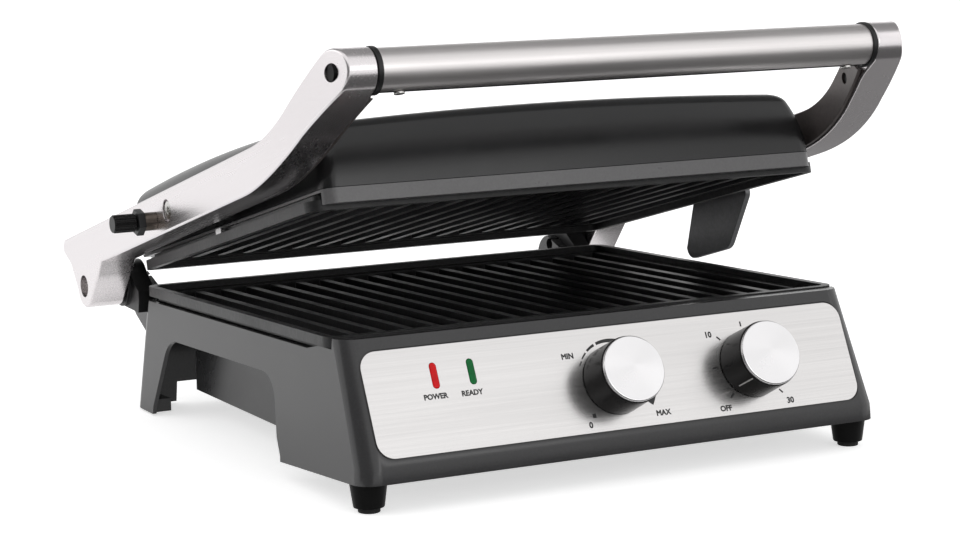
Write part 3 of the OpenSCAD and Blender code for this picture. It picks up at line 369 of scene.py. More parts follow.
def print_shape(bm, x, s, turn=0.0):
    """Lays a flat mesh on the panel at (x, s), turned in its plane, and adds it to the ink."""
    place = Matrix.Translation(on_panel(x, s, PANEL_TOP + 0.01)) @ FACE.to_4x4()
    bmesh.ops.transform(bm, matrix=place @ Matrix.Rotation(turn, 4, "Z") @ Matrix.Scale(MM, 4),
                        verts=bm.verts)
    piece = bpy.data.meshes.new("print_piece")
    bm.to_mesh(piece)
    bm.free()
    ink.from_mesh(piece)
    bpy.data.meshes.remove(piece)


def thicken(bm):
    """Gives a flat shape the thickness of a layer of ink."""
    faces = bm.faces[:]
    made = bmesh.ops.extrude_face_region(bm, geom=faces)
    moved = [v for v in made["geom"] if isinstance(v, bmesh.types.BMVert)]
    bmesh.ops.translate(bm, vec=(0, 0, INK_THICK), verts=moved)
    bmesh.ops.recalc_face_normals(bm, faces=bm.faces)


def print_words(text, x, s, height):
    """Plain bold lettering, centred on (x, s)."""
    curve = bpy.data.curves.new(text, "FONT")
    curve.body, curve.size = text, height
    curve.align_x, curve.align_y = "CENTER", "CENTER"
    curve.resolution_u, curve.bevel_resolution = 3, 0
    curve.extrude, curve.bevel_depth = 0.05, height * 0.042
    letters = bpy.data.objects.new(text, curve)
    bpy.context.scene.collection.objects.link(letters)
    graph = bpy.context.evaluated_depsgraph_get()
    flat = bpy.data.meshes.new_from_object(letters.evaluated_get(graph))
    bpy.data.objects.remove(letters)
    bm = bmesh.new()
    bm.from_mesh(flat)
    bpy.data.meshes.remove(flat)
    high = max(v.co.z for v in bm.verts)
    bmesh.ops.translate(bm, vec=(0, 0, high), verts=bm.verts)
    bmesh.ops.scale(bm, vec=(1, 1, INK_THICK / 2 / high), verts=bm.verts)
    print_shape(bm, x, s)


def print_bar(x, s, long, wide, turn):
    """A printed tick, long along its own direction."""
    bm = bmesh.new()
    bmesh.ops.create_grid(bm, x_segments=1, y_segments=1, size=0.5)
    bmesh.ops.scale(bm, vec=(long, wide, 1), verts=bm.verts)
    thicken(bm)
    print_shape(bm, x, s, turn)


def print_arc(x, s, radius, start, stop, thin, thick):
    """A printed arc round a knob that grows from thin to thick; angles in degrees."""
    bm = bmesh.new()
    along = cos(radians(start)), sin(radians(start))
    edge = bm.edges.new([bm.verts.new((r * along[0], r * along[1], 0))
                         for r in (radius, radius + thin)])
    steps = 36
    for i in range(steps):
        made = bmesh.ops.extrude_edge_only(bm, edges=[edge])
        new = [v for v in made["geom"] if isinstance(v, bmesh.types.BMVert)]
        bmesh.ops.rotate(bm, cent=(0, 0, 0), verts=new,
                         matrix=Matrix.Rotation(radians(stop - start) / steps, 3, "Z"))
        wide = thin + (thick - thin) * (i + 1) / steps
        far = max(new, key=lambda v: v.co.length)
        far.co = far.co.normalized() * (radius + wide)
        edge = [e for e in made["geom"] if isinstance(e, bmesh.types.BMEdge)][0]
    thicken(bm)
    print_shape(bm, x, s)


def round_knob(kind, radius, angle):
    """The place on the panel at an angle round a knob, in degrees."""
    return (KNOB_AT[kind] + radius * cos(radians(angle)),
            CONTROLS_S + radius * sin(radians(angle)))


print_words("POWER", -117.3, 36.2, 4.2)
print_words("READY", -94.8, 36.0, 4.2)
for start, stop, thin, thick in (
        (153, 145, 0.5, 0.6), (141, 130, 0.8, 1.0), (126, 111, 1.3, 1.6), (107, -39, 1.7, 4.6)):
    print_arc(KNOB_AT["thermostat"], CONTROLS_S, 22.4, start, stop, thin, thick)
print_words("MIN", *round_knob("thermostat", 31.5, 148), 4.4)
print_words("MAX", *round_knob("thermostat", 34.5, -40), 4.4)
print_words("0", *round_knob("thermostat", 32.6, 228), 4.8)
print_bar(*round_knob("thermostat", 26.4, 226), 2.4, 2.4, radians(0))
for angle in (180, 135, 90, 45, 0, -48):
    print_bar(*round_knob("timer", 24.4, angle), 3.0, 0.9, radians(angle))
print_bar(*round_knob("timer", 24.6, 225), 3.4, 1.1, radians(225))
print_words("10", *round_knob("timer", 31.0, 140), 4.8)
print_words("30", *round_knob("timer", 32.3, -49), 4.8)
print_words("OFF", *round_knob("timer", 34.0, 226), 4.5)
placed("panel_print", ink, [], panel_ink, body="base")

# ------------------------------------------------------------
# Indicator lenses. Pill-shaped light pipes moulded in clear red and clear green acrylic, pushed
# in from behind, with a small neon lamp in a glass envelope under each.
# ------------------------------------------------------------


def clear(name, colour, rough, glow):
    """A clear coloured moulding with a painted glow: its emission makes it look as if light came
    through it.
    """
    mat = bpy.data.materials.new(name)
    mat.use_nodes = True
    tree = mat.node_tree
    shader = tree.nodes["Principled BSDF"]
    shader.inputs["Roughness"].default_value = rough
    shader.inputs["IOR"].default_value = 1.49
    shader.inputs["Coat Weight"].default_value = 0.05
    shader.inputs["Specular IOR Level"].default_value = 0.2
    shader.inputs["Subsurface Weight"].default_value = 0.25
    shader.inputs["Subsurface Radius"].default_value = (0.002, 0.001, 0.001)
    # The emission is painted light, a glow with no lamp behind it.
    shader.inputs["Emission Strength"].default_value = glow
    place = node(tree, "TexCoord")
    flow = node(tree, "TexNoise", {"Scale": 260.0, "Detail": 3.0, "Distortion": 0.6})
    deep = tuple(c * 0.45 for c in colour)
    tint = node(tree, "Mix", {6: (*deep, 1), 7: (*colour, 1)}, data_type="RGBA")
    link = tree.links.new
    link(place.outputs["Object"], flow.inputs["Vector"])
    link(flow.outputs["Fac"], tint.inputs["Factor"])
    link(tint.outputs[2], shader.inputs["Base Color"])
    link(tint.outputs[2], shader.inputs["Emission Color"])
    return mat


# Both lenses carry a painted glow through their emission; the lamp glass has none.
red_lens = clear("red_lens", (0.8, 0.008, 0.012), 0.12, 0.22)
green_lens = clear("green_lens", (0.003, 0.2, 0.045), 0.12, 0.08)
lamp_glass = clear("lamp_glass", (0.8, 0.42, 0.16), 0.08, 0.0)
dressed("lens_red", ["power_lens"], red_lens, 0.9, 3)
dressed("lens_green", ["ready_lens"], green_lens, 0.9, 3)
dressed("lamps", ["indicator_lamps"], lamp_glass, 0.5, 3)

# ------------------------------------------------------------
# Switches. A thermostat in a brown phenolic case and a clockwork timer in a zinc-plated can are
# bolted behind the face. Their turned steel spindles come through the panel.
# ------------------------------------------------------------
phenolic = grained("phenolic", (0.16, 0.085, 0.04), (0.4, 0.55), 1200.0, 0.05, 0.3)
switch_steel = grained("switch_steel", (0.55, 0.55, 0.54), (0.28, 0.4), 900.0, 0.02, 0.1,
                       metallic=1.0)
dressed("thermostat_case", ["thermostat_body"], phenolic, 0.6)
dressed("timer_can", ["timer_body"], switch_steel, 0.6)
dressed("thermostat_shaft", ["thermostat_spindle"], switch_steel, 0.3)
dressed("timer_shaft", ["timer_spindle"], switch_steel, 0.3)

# ------------------------------------------------------------
# Knobs. Smooth black ABS drums, slightly drafted and soft at the shoulder, pushed on the
# spindles. A disc of spun steel, polished in rings, is glued on each, and the drum's side
# carries a printed index line.
# ------------------------------------------------------------
KNOB_R, KNOB_LOW, KNOB_HIGH, DRAFT = 20.2, 1.0, 22.6, 0.5
CAP_R, CAP_HIGH = 19.2, 24.4
INDEX_SIZE, INDEX_UP = (0.4, 0.8, 15.0), 13.5
INDEX_AT = {"thermostat": 60.0, "timer": 222.0}
index_paint = grained("index_paint", (0.45, 0.44, 0.43), (0.4, 0.5), 1500.0, 0.01, 0.2)
knob_plastic = grained("knob_plastic", (0.006, 0.0055, 0.0055), (0.22, 0.3), 2200.0, 0.01,
                       specular=0.2)


def polished_cap(name, centre):
    """Polished steel turned in rings about the centre of a cap."""
    mat = bpy.data.materials.new(name)
    mat.use_nodes = True
    tree = mat.node_tree
    shader = tree.nodes["Principled BSDF"]
    shader.inputs["Metallic"].default_value = 1.0
    shader.inputs["Anisotropic"].default_value = 0.4
    place = node(tree, "TexCoord")
    centred = node(tree, "Mapping", {"Location": tuple(-c for c in centre)})
    away = node(tree, "VectorMath", operation="LENGTH")
    rings = node(tree, "TexNoise", {"Scale": 2600.0, "Detail": 3.0, "Roughness": 0.6},
                 noise_dimensions="1D")
    cloud = node(tree, "TexNoise", {"Scale": 60.0, "Detail": 4.0})
    rough = node(tree, "MapRange",
                 {"From Min": 0.3, "From Max": 0.7, "To Min": 0.2, "To Max": 0.3})
    tone = node(tree, "Mix", {6: (0.8, 0.79, 0.8, 1), 7: (0.86, 0.85, 0.855, 1)},
                data_type="RGBA")
    relief = node(tree, "Bump", {"Strength": 0.15, "Distance": 0.004 * MM})
    link = tree.links.new
    link(place.outputs["Object"], centred.inputs["Vector"])
    link(centred.outputs["Vector"], away.inputs[0])
    link(away.outputs["Value"], rings.inputs["W"])
    link(centred.outputs["Vector"], cloud.inputs["Vector"])
    link(cloud.outputs["Fac"], rough.inputs["Value"])
    link(rings.outputs["Fac"], tone.inputs["Factor"])
    link(tone.outputs[2], shader.inputs["Base Color"])
    link(rough.outputs["Result"], shader.inputs["Roughness"])
    link(rings.outputs["Fac"], relief.inputs["Height"])
    link(relief.outputs["Normal"], shader.inputs["Normal"])
    return mat


for kind, x in KNOB_AT.items():
    on_axis = Matrix.Translation(on_panel(x, CONTROLS_S, 0)) @ FACE.to_4x4() @ Matrix.Scale(MM, 4)
    drum = bmesh.new()
    bmesh.ops.create_cone(drum, cap_ends=True, segments=128, radius1=KNOB_R,
                          radius2=KNOB_R - DRAFT, depth=KNOB_HIGH - KNOB_LOW)
    bmesh.ops.translate(drum, vec=(0, 0, (KNOB_HIGH + KNOB_LOW) / 2), verts=drum.verts)
    for end, soft in ((KNOB_LOW, 0.4), (KNOB_HIGH, 1.1)):
        rim = [e for e in drum.edges if all(abs(v.co.z - end) < 0.01 for v in e.verts)]
        bmesh.ops.bevel(drum, geom=rim, offset=soft, offset_type="OFFSET", affect="EDGES",
                        segments=4, profile=0.5, material=-1)
    bmesh.ops.transform(drum, matrix=on_axis, verts=drum.verts)
    bmesh.ops.recalc_face_normals(drum, faces=drum.faces)
    placed(kind + "_drum", drum, [kind + "_knob"], knob_plastic)

    cap = bmesh.new()
    bmesh.ops.create_cone(cap, cap_ends=True, segments=96, radius1=CAP_R, radius2=CAP_R,
                          depth=CAP_HIGH - KNOB_HIGH)
    bmesh.ops.translate(cap, vec=(0, 0, (CAP_HIGH + KNOB_HIGH) / 2), verts=cap.verts)
    top = [e for e in cap.edges if all(v.co.z > CAP_HIGH - 0.1 for v in e.verts)]
    bmesh.ops.bevel(cap, geom=top, offset=0.9, offset_type="OFFSET", affect="EDGES", segments=4,
                    profile=0.5, material=-1)
    bmesh.ops.transform(cap, matrix=on_axis, verts=cap.verts)
    cap_metal = polished_cap(kind + "_cap_metal", on_panel(x, CONTROLS_S, CAP_HIGH))
    placed(kind + "_disc", cap, [kind + "_cap"], cap_metal)

    index = bmesh.new()
    bmesh.ops.create_cube(index, size=1)
    bmesh.ops.scale(index, vec=INDEX_SIZE, verts=index.verts)
    bmesh.ops.translate(index, vec=(KNOB_R - 0.2, 0, INDEX_UP), verts=index.verts)
    bmesh.ops.rotate(index, cent=(0, 0, 0), verts=index.verts,
                     matrix=Matrix.Rotation(radians(INDEX_AT[kind]), 3, "Z"))
    bmesh.ops.transform(index, matrix=on_axis, verts=index.verts)
    placed(kind + "_index", index, [], index_paint, body=kind)

# ------------------------------------------------------------
# Grill plates. Die-cast aluminium under a black textured non-stick coat, ribbed from front to
# rear. The lower plate rests in the base, and the upper one is clipped in its frame.
# ------------------------------------------------------------
cast_plate = grained("cast_plate", (0.016, 0.016, 0.0165), (0.28, 0.4), 1100.0, 0.35, 0.35,
                     size=22.0, dust=(0.12, 0.12, 0.12), specular=0.32)
dressed("plate_below", ["lower_plate"], cast_plate, 1.0, 3)
dressed("plate_above", ["upper_plate"], cast_plate, 1.0, 3)
dressed("drain_tube", ["drain_spout"], cast_plate, 0.4)

# ------------------------------------------------------------
# Heating. Steel-sheathed tube heaters lie under each plate, over reflector pans pressed in thin
# aluminium. They are dull from the first hot run.
# ------------------------------------------------------------
heater_steel = grained("heater_steel", (0.26, 0.22, 0.2), (0.4, 0.6), 700.0, 0.05, 0.35,
                       metallic=1.0)
reflector_aluminium = brushed("reflector_aluminium", (0.72, 0.73, 0.74), (0.25, 0.4), 0.1)
for side in ("lower", "upper"):
    dressed(side + "_element", [side + "_heater"], heater_steel, 0.0)
    dressed(side + "_mirror", [side + "_reflector"], reflector_aluminium,
            0.3)

# ------------------------------------------------------------
# Wiring. A glazed ceramic block on the pan's rear wall, silicone-covered leads gathered in one
# loom, and the moulded rubber gland where the supply comes through the rear wall.
# ------------------------------------------------------------
ceramic = grained("ceramic", (0.78, 0.74, 0.64), (0.12, 0.2), 500.0, 0.02, 0.05)
silicone_lead = grained("silicone_lead", (0.3, 0.05, 0.035), (0.4, 0.5), 900.0, 0.02, 0.1)
dressed("terminal", ["terminal_block"], ceramic, 0.5)
dressed("loom", ["base_wiring"], silicone_lead, 0.0)
dressed("gland", ["cord_gland"], rubber, 0.4)

# ------------------------------------------------------------
# Hinge posts. Black glass-filled nylon bosses beside the rear lugs of the base. The arms hang on
# steel shoulder screws that turn in them.
# ------------------------------------------------------------
post_nylon = grained("post_nylon", (0.01, 0.01, 0.0105), (0.32, 0.44), 1600.0, 0.04, specular=0.4)
dressed("posts", ["hinge_posts"], post_nylon, 0.9, 3)

# ------------------------------------------------------------
# Fasteners. Zinc-plated steel screws and bolts with hexagon sockets, turned and plated bright,
# with a faint swirl from the plating barrel. The cover screws are blackened.
# ------------------------------------------------------------
screw_steel = grained("screw_steel", (0.62, 0.61, 0.59), (0.22, 0.34), 1400.0, 0.02, 0.1,
                      metallic=1.0)
dark_screw = grained("dark_screw", (0.06, 0.06, 0.06), (0.3, 0.45), 1400.0, 0.02, 0.2,
                     metallic=1.0)
for name, cad, slot, finish, radius in (
        ("screws_pan", "bottom_screws", "screw_steel", screw_steel, 0.3),
        ("screws_hinge", "hinge_screws", "screw_steel", screw_steel, 0.3),
        ("bolts_pivot", "pivot_bolts", "screw_steel", screw_steel, 0.3),
        ("screws_cover", "arm_cover_screws", "dark_screw", dark_screw, 0.3),
        ("screws_handle", "handle_screws", "screw_steel", screw_steel, 0.3),
        ("screws_lid", "lid_screws", "screw_steel", screw_steel, 0.3),
        ("screw_lever", "lever_screw", "screw_steel", screw_steel, 0.5)):
    dressed(name, [cad], finish, radius)

# ------------------------------------------------------------
# Side arms. Die-cast zinc arms, polished and then satin-brushed along their length, with a soft
# edge all round. They hang on the hinge screws and carry the lid and the handle.
# ------------------------------------------------------------
ARM_TILT, HINGE = radians(14.0), (357.3, 91.1)
ARM_IN, ARM_OUT, ARM_T, BOSS_IN = 172.0, 195.4, 23.4, 160.0
PIN_BORE, SCREW_HEAD, BOLT_HEAD = 4.06, 7.1, 6.6
PLUNGER_BORE, SLEEVE_BORE, PLUG_BORE = 2.66, 5.2, 5.0
REACH, HANDLE_UP, BEND_START, BEND_R = 385.0, 56.7, 298.0, 285.0
PIVOT, LOCK = (162.0, 22.45), (140.6, 19.65)
COVER_SCREWS = ((20.0, 19.3), (356.0, 42.7))


def hinge_frame(tilt, mirrored=False):
    """Takes (across, forward, up) about the hinge line, in millimetres, to the worktop frame."""
    level = on_deck(0, *HINGE)
    forward = on_deck(0, HINGE[0] - cos(tilt), HINGE[1] + sin(tilt)) - level
    up = on_deck(0, HINGE[0] + sin(tilt), HINGE[1] + cos(tilt)) - level
    across = ACROSS * (-MM if mirrored else MM)
    return Matrix.Translation(level) @ Matrix((across, forward, up)).transposed().to_4x4()


def curve(cx, cy, radius, start, stop, steps):
    """Points of an arc, angles in degrees."""
    turns = [radians(start + (stop - start) * i / steps) for i in range(steps + 1)]
    return [(cx + radius * cos(turn), cy + radius * sin(turn)) for turn in turns]


def bent_in(u, depth):
    """Distance from the middle of a layer of an arm that lies a depth below its outer face."""
    if u < BEND_START:
        return ARM_OUT - depth
    return ARM_OUT - BEND_R + ((BEND_R - depth) ** 2 - (u - BEND_START) ** 2) ** 0.5


def bent_bar(outline, deep, shallow, least, radius, segments):
    """A bar of the given side outline between two depths, bent in towards the handle. Its inner
    side stays at least the least distance from the middle."""
    bm = bmesh.new()
    bm.faces.new([bm.verts.new((0, x, y)) for x, y in outline])
    for step in range(16):
        bmesh.ops.bisect_plane(bm, geom=bm.verts[:] + bm.edges[:] + bm.faces[:], dist=0.01,
                               plane_co=(0, BEND_START + 6.2 * step, 0), plane_no=(0, 1, 0))
    bmesh.ops.remove_doubles(bm, verts=bm.verts, dist=0.5)
    inner = bm.verts[:]
    made = bmesh.ops.extrude_face_region(bm, geom=bm.faces[:])
    for v in made["geom"]:
        if isinstance(v, bmesh.types.BMVert):
            v.co.x = bent_in(v.co.y, shallow)
    for v in inner:
        v.co.x = max(bent_in(v.co.y, deep), least)
    bmesh.ops.recalc_face_normals(bm, faces=bm.faces)
    edges = [e for e in bm.edges if e.is_manifold and e.calc_face_angle(0.0) > radians(40)]
    bmesh.ops.bevel(bm, geom=edges, offset=radius, offset_type="OFFSET", affect="EDGES",
                    segments=segments, profile=0.5, material=-1, clamp_overlap=True)
    return bm


def pin(x0, x1, radius, u, w, segments=48):
    """A cylinder across the grill, as a cutter or a boss."""
    bm = bmesh.new()
    bmesh.ops.create_cone(bm, cap_ends=True, segments=segments, radius1=radius, radius2=radius,
                          depth=x1 - x0)
    bmesh.ops.rotate(bm, cent=(0, 0, 0), matrix=Matrix.Rotation(pi / 2, 3, "Y"), verts=bm.verts)
    bmesh.ops.translate(bm, vec=((x0 + x1) / 2, u, w), verts=bm.verts)
    return bm


def cut_by(bm, cutters):
    """Takes the cutters away from a closed mesh."""
    both = []
    tool = bmesh.new()
    for cutter in cutters:
        piece = bpy.data.meshes.new("cutter")
        cutter.to_mesh(piece)
        cutter.free()
        tool.from_mesh(piece)
        bpy.data.meshes.remove(piece)
    for part in (bm, tool):
        bmesh.ops.recalc_face_normals(part, faces=part.faces)
        mesh = bpy.data.meshes.new("stock")
        part.to_mesh(mesh)
        part.free()
        both.append(bpy.data.objects.new("stock", mesh))
        bpy.context.scene.collection.objects.link(both[-1])
    saw = both[0].modifiers.new("saw", "BOOLEAN")
    saw.operation, saw.solver, saw.object = "DIFFERENCE", "EXACT", both[1]
    saw.use_self = True
    graph = bpy.context.evaluated_depsgraph_get()
    left = bpy.data.meshes.new_from_object(both[0].evaluated_get(graph))
    for obj in both:
        mesh = obj.data
        bpy.data.objects.remove(obj)
        bpy.data.meshes.remove(mesh)
    bm = bmesh.new()
    bm.from_mesh(left)
    bpy.data.meshes.remove(left)
    bmesh.ops.remove_doubles(bm, verts=bm.verts, dist=0.01)
    return bm


def soften_holes(bm, holes, radius):
    """Breaks the edges of round holes, given as (u, w, hole radius)."""
    def on_rim(e, u, w, r):
        return all(abs(((v.co.y - u) ** 2 + (v.co.z - w) ** 2) ** 0.5 - r) < 0.05 for v in e.verts)

    edges = [e for e in bm.edges if e.is_manifold and e.calc_face_angle(0.0) > radians(60)
             and any(on_rim(e, *hole) for hole in holes)]
    bmesh.ops.bevel(bm, geom=edges, offset=radius, offset_type="OFFSET", affect="EDGES",
                    segments=2, profile=0.5, material=-1, clamp_overlap=True)


arm_metal = brushed("arm_metal", (0.80, 0.765, 0.775), (0.25, 0.28), 0.03,
                    (ARM_TILT + FALL, 0.0, pi / 2), 0.0, 0.0)
arm_side = ([(38.5, 10.3)] + curve(276, 180.3, 170, -90, -62.5, 12)
            + curve(REACH, HANDLE_UP, 12.7, -62.5, 117.5, 20)
            + curve(296, 129.8, 95, -62.5, -90, 10)
            + [(-28, 34.8), (-32, 30.8), (-32, 26.8), (-21, 17.5)]
            + curve(0, -0.5, 13.3, 180, 302, 16))
for side in ("left", "right"):
    bar = bent_bar(arm_side, ARM_T, 0.0, BOSS_IN, 1.4, 4)
    bores = [pin(ARM_IN - 5, ARM_OUT + 5, PIN_BORE, 0, 0),
             pin(ARM_OUT - 12, ARM_OUT + 5, SCREW_HEAD, 0, 0),
             pin(ARM_IN - 5, ARM_OUT + 5, PIN_BORE, *PIVOT),
             pin(ARM_OUT - 3, ARM_OUT + 5, BOLT_HEAD, *PIVOT),
             pin(ARM_IN - 5, ARM_OUT + 5, PLUNGER_BORE, *LOCK),
             pin(ARM_IN - 5, ARM_OUT - 6, SLEEVE_BORE, *LOCK),
             pin(ARM_OUT - 18, ARM_OUT + 5, PLUG_BORE, REACH, HANDLE_UP)]
    for u, w in COVER_SCREWS:
        inside = bent_in(u, ARM_T)
        bores += [pin(150, inside + 1.2, 3.2, u, w), pin(150, inside + 12, 1.5, u, w)]
    bar = cut_by(bar, bores)
    soften_holes(bar, ((0, 0, SCREW_HEAD), (*PIVOT, BOLT_HEAD), (REACH, HANDLE_UP, PLUG_BORE)),
                 0.45)
    bmesh.ops.transform(bar, matrix=hinge_frame(ARM_TILT, side == "left"), verts=bar.verts)
    bmesh.ops.recalc_face_normals(bar, faces=bar.faces)
    placed(side + "_arm_casting", bar, [side + "_arm"], arm_metal, 32.0)

# ------------------------------------------------------------
# Arm covers and plugs. Gunmetal-painted plates close the hollow side of each arm, held by two
# screws, and oval black plugs close the holes over the handle's ends.
# ------------------------------------------------------------
COVER_HEAD = 3.4
cover_paint = grained("cover_paint", (0.10, 0.085, 0.082), (0.3, 0.4), 1500.0, 0.03, 0.15,
                      metallic=0.6)
cover_side = ([(24, 11.5)] + curve(276, 180.3, 168.8, -90, -62.5, 12)
              + curve(REACH, HANDLE_UP, 14.9, -112, -192, 8)
              + curve(296, 129.8, 96.2, -62.5, -90, 10)
              + [(-22, 33.6), (-22, 25.8), (4, 18.3)])
for side in ("left", "right"):
    plate = bent_bar(cover_side, ARM_T + 2.5, ARM_T + 0.1, 0.0, 0.6, 2)
    plate = cut_by(plate, [pin(150, ARM_IN + 5, 8.6, *PIVOT), pin(150, ARM_IN + 5, 5.4, *LOCK)]
                   + [pin(140, ARM_IN + 5, COVER_HEAD, u, w) for u, w in COVER_SCREWS])
    soften_holes(plate, [(u, w, COVER_HEAD) for u, w in COVER_SCREWS], 0.4)
    bmesh.ops.transform(plate, matrix=hinge_frame(ARM_TILT, side == "left"), verts=plate.verts)
    bmesh.ops.recalc_face_normals(plate, faces=plate.faces)
    placed(side + "_arm_lining", plate, [side + "_arm_cover"], cover_paint, 32.0)
dressed("plugs", ["arm_plugs"], foot_plastic, 0.5)

# ------------------------------------------------------------
# Handle. A 24 mm stainless tube with a fine satin finish, drawn over a grey plastic core. Black
# rings close its ends, and a dark strip with two screws lies in the slot underneath.
# ------------------------------------------------------------
tube_steel = brushed("tube_steel", (0.80, 0.77, 0.765), (0.34, 0.42), 0.06, (0.0, 0.0, 0.0), 0.0)
core_plastic = grained("core_plastic", (0.1, 0.1, 0.1), (0.4, 0.5), 1500.0, 0.03)
dressed("tube", ["handle_tube"], tube_steel, 0.25)
dressed("core", ["handle_core"], core_plastic, 0.3)
dressed("rings", ["handle_rings"], post_nylon, 0.5)
dressed("strip", ["handle_strip"], foot_plastic, 0.2)

# ------------------------------------------------------------
# Lid. One dark grey ABS moulding, domed and soft at the shoulders, with a finer satin than the
# base. Its rear corners are rounded back, to clear the hinge posts when it opens flat.
# ------------------------------------------------------------
lid_plastic = grained("lid_plastic", (0.009, 0.009, 0.0095), (0.2, 0.27), 2600.0, 0.015, 0.08,
                      specular=0.45)
LID_TILT = radians(12.6)
LID_HALF, LID_FRONT, LID_BACK, LID_SEAM, LID_CORNER = 162.0, 314.3, 1.0, 14.8, 9.0
WALL_UP, SIDE_BULGE, FRONT_BULGE = 33.0, 90.0, 110.0
SHOULDER_R, SHOULDER_FROM, SHOULDER_TURN = 8.5, 20, 69
CREST, CREST_AT, ARCH, CROWN, CROWN_AT = 64.0, 120, 0.00024, 3.8, 148
CORNER_STEPS, SIDE_STEPS = 6, 26


def lid_solid(g, low):
    """The closed form of the lid, shrunk by g: walls that bulge a little, a soft shoulder all
    round, and a top that is arched from front to rear and crowned from side to side."""
    rings = [(0, 0, 0, low - LID_SEAM)]
    for step in range(9):
        h = WALL_UP * step / 8
        rings.append((SIDE_BULGE - (SIDE_BULGE ** 2 - h * h) ** 0.5,
                      FRONT_BULGE - (FRONT_BULGE ** 2 - h * h) ** 0.5, 0, h))
    cheek, face = rings[-1][0], rings[-1][1]
    first = radians(SHOULDER_FROM)
    for step in range(1, 9):
        turn = radians(SHOULDER_FROM + SHOULDER_TURN * step / 8)
        soft = cos(first) - cos(turn)
        rings.append((cheek + SHOULDER_R * soft, face + SHOULDER_R * soft, 10 * (1 - cos(turn)),
                      WALL_UP + SHOULDER_R * (sin(turn) - sin(first))))
    top = rings[-1]
    for inset in (9, 20, 34, 52, 74, 100, 128):
        rings.append((top[0] + inset, top[1] + inset, top[2] + inset, top[3]))

    def place(i, ring):
        """Point i round the plan, which goes round each corner and then along each side."""
        half, front, back = LID_HALF - g - ring[0], LID_FRONT - g - ring[1], LID_BACK + g + ring[2]
        r = min(LID_CORNER - g, half - 1)
        corners = ((half - r, front - r), (r - half, front - r),
                   (r - half, back + r), (half - r, back + r))
        turn, step = divmod(i, CORNER_STEPS + SIDE_STEPS)
        cx, cy = corners[turn]
        if step <= CORNER_STEPS:
            angle = radians(90 * turn + 90 / CORNER_STEPS * step)
            x, u = cx + r * cos(angle), cy + r * sin(angle)
        else:
            nx, ny = corners[(turn + 1) % 4]
            t = (step - CORNER_STEPS) / SIDE_STEPS
            angle = radians(90 * turn + 90)
            x = cx + (nx - cx) * t + r * cos(angle)
            u = cy + (ny - cy) * t + r * sin(angle)
        wanted = CREST - g - ARCH * (u - CREST_AT) ** 2 - CROWN * (x / CROWN_AT) ** 2
        h = ring[3]
        share = max(h, 0.0) / top[3]
        return x, u, LID_SEAM + h + (wanted - LID_SEAM - top[3]) * share ** 1.5

    bm = bmesh.new()
    number = bm.verts.layers.int.new("number")
    loop = []
    for i in range(4 * (CORNER_STEPS + SIDE_STEPS)):
        v = bm.verts.new(place(i, rings[0]))
        v[number] = i
        loop.append(v)
    edges = [bm.edges.new(pair) for pair in zip(loop, loop[1:] + loop[:1])]
    bottom = edges
    for ring in rings[1:]:
        made = bmesh.ops.extrude_edge_only(bm, edges=edges)
        for v in made["geom"]:
            if isinstance(v, bmesh.types.BMVert):
                v.co = place(v[number], ring)
        edges = [e for e in made["geom"] if isinstance(e, bmesh.types.BMEdge)]
    bmesh.ops.edgeloop_fill(bm, edges=edges)
    bmesh.ops.edgeloop_fill(bm, edges=bottom)
    bmesh.ops.recalc_face_normals(bm, faces=bm.faces)
    return bm


def rear_corners(radius, start):
    """Cutters round the hinge line, outside a distance from the middle."""
    return [pin(start, 200, radius, 0, 0, 96), pin(-200, -start, radius, 0, 0, 96)]


hollow = cut_by(lid_solid(2.6, 8.0), rear_corners(31.1, 145.4))
dome = cut_by(lid_solid(0.0, LID_SEAM), rear_corners(28.5, 148.0) + [hollow]
              + [pin(x, x + 24, 6.2, 161.4, 26.4) for x in (-174, 150)])
bmesh.ops.transform(dome, matrix=hinge_frame(LID_TILT), verts=dome.verts)
bmesh.ops.recalc_face_normals(dome, faces=dome.faces)
placed("lid_dome", dome, ["lid_housing"], lid_plastic, 26.0)

# ------------------------------------------------------------
# Lid frame. A flatter, lighter grey moulding screwed under the dome. Its front lip covers the
# rim of the upper plate, and small steel clips under its sides hold the plate.
# ------------------------------------------------------------
frame_plastic = grained("frame_plastic", (0.12, 0.118, 0.12), (0.26, 0.34), 2400.0, 0.02, 0.1)
clip_steel = grained("clip_steel", (0.6, 0.6, 0.6), (0.25, 0.35), 1200.0, 0.02, 0.1, metallic=1.0)
dressed("lid_band", ["lid_frame"], frame_plastic, 0.5)
dressed("clips", ["plate_clips"], clip_steel, 0.15)
dressed("bushes", ["pivot_bushes"], post_nylon, 0.6)

# ------------------------------------------------------------
# Lock plunger. A steel pin with a ribbed black knob slides in a bronze-grey sleeve and a
# six-sided collar on the left arm, against a small spring.
# ------------------------------------------------------------
sleeve_metal = grained("sleeve_metal", (0.13, 0.11, 0.095), (0.3, 0.4), 1200.0, 0.02, 0.15,
                       metallic=1.0)
dressed("plunger_sleeve", ["lock_sleeve"], sleeve_metal, 0.4)
dressed("plunger_collar", ["lock_collar"], post_nylon, 0.5)
dressed("plunger_knob", ["lock_knob"], knob_plastic, 0.35)
dressed("plunger_spring", ["lock_spring"], screw_steel, 0.0)

# ------------------------------------------------------------
# Height lever. A flat zinc tab in grey paint on the outside of the right arm, pressed to shape
# and held by a pan-headed screw that it turns on.
# ------------------------------------------------------------
lever_paint = grained("lever_paint", (0.16, 0.16, 0.165), (0.3, 0.4), 1800.0, 0.03, 0.15,
                      metallic=0.3)
dressed("lever", ["height_lever"], lever_paint, 0.7)

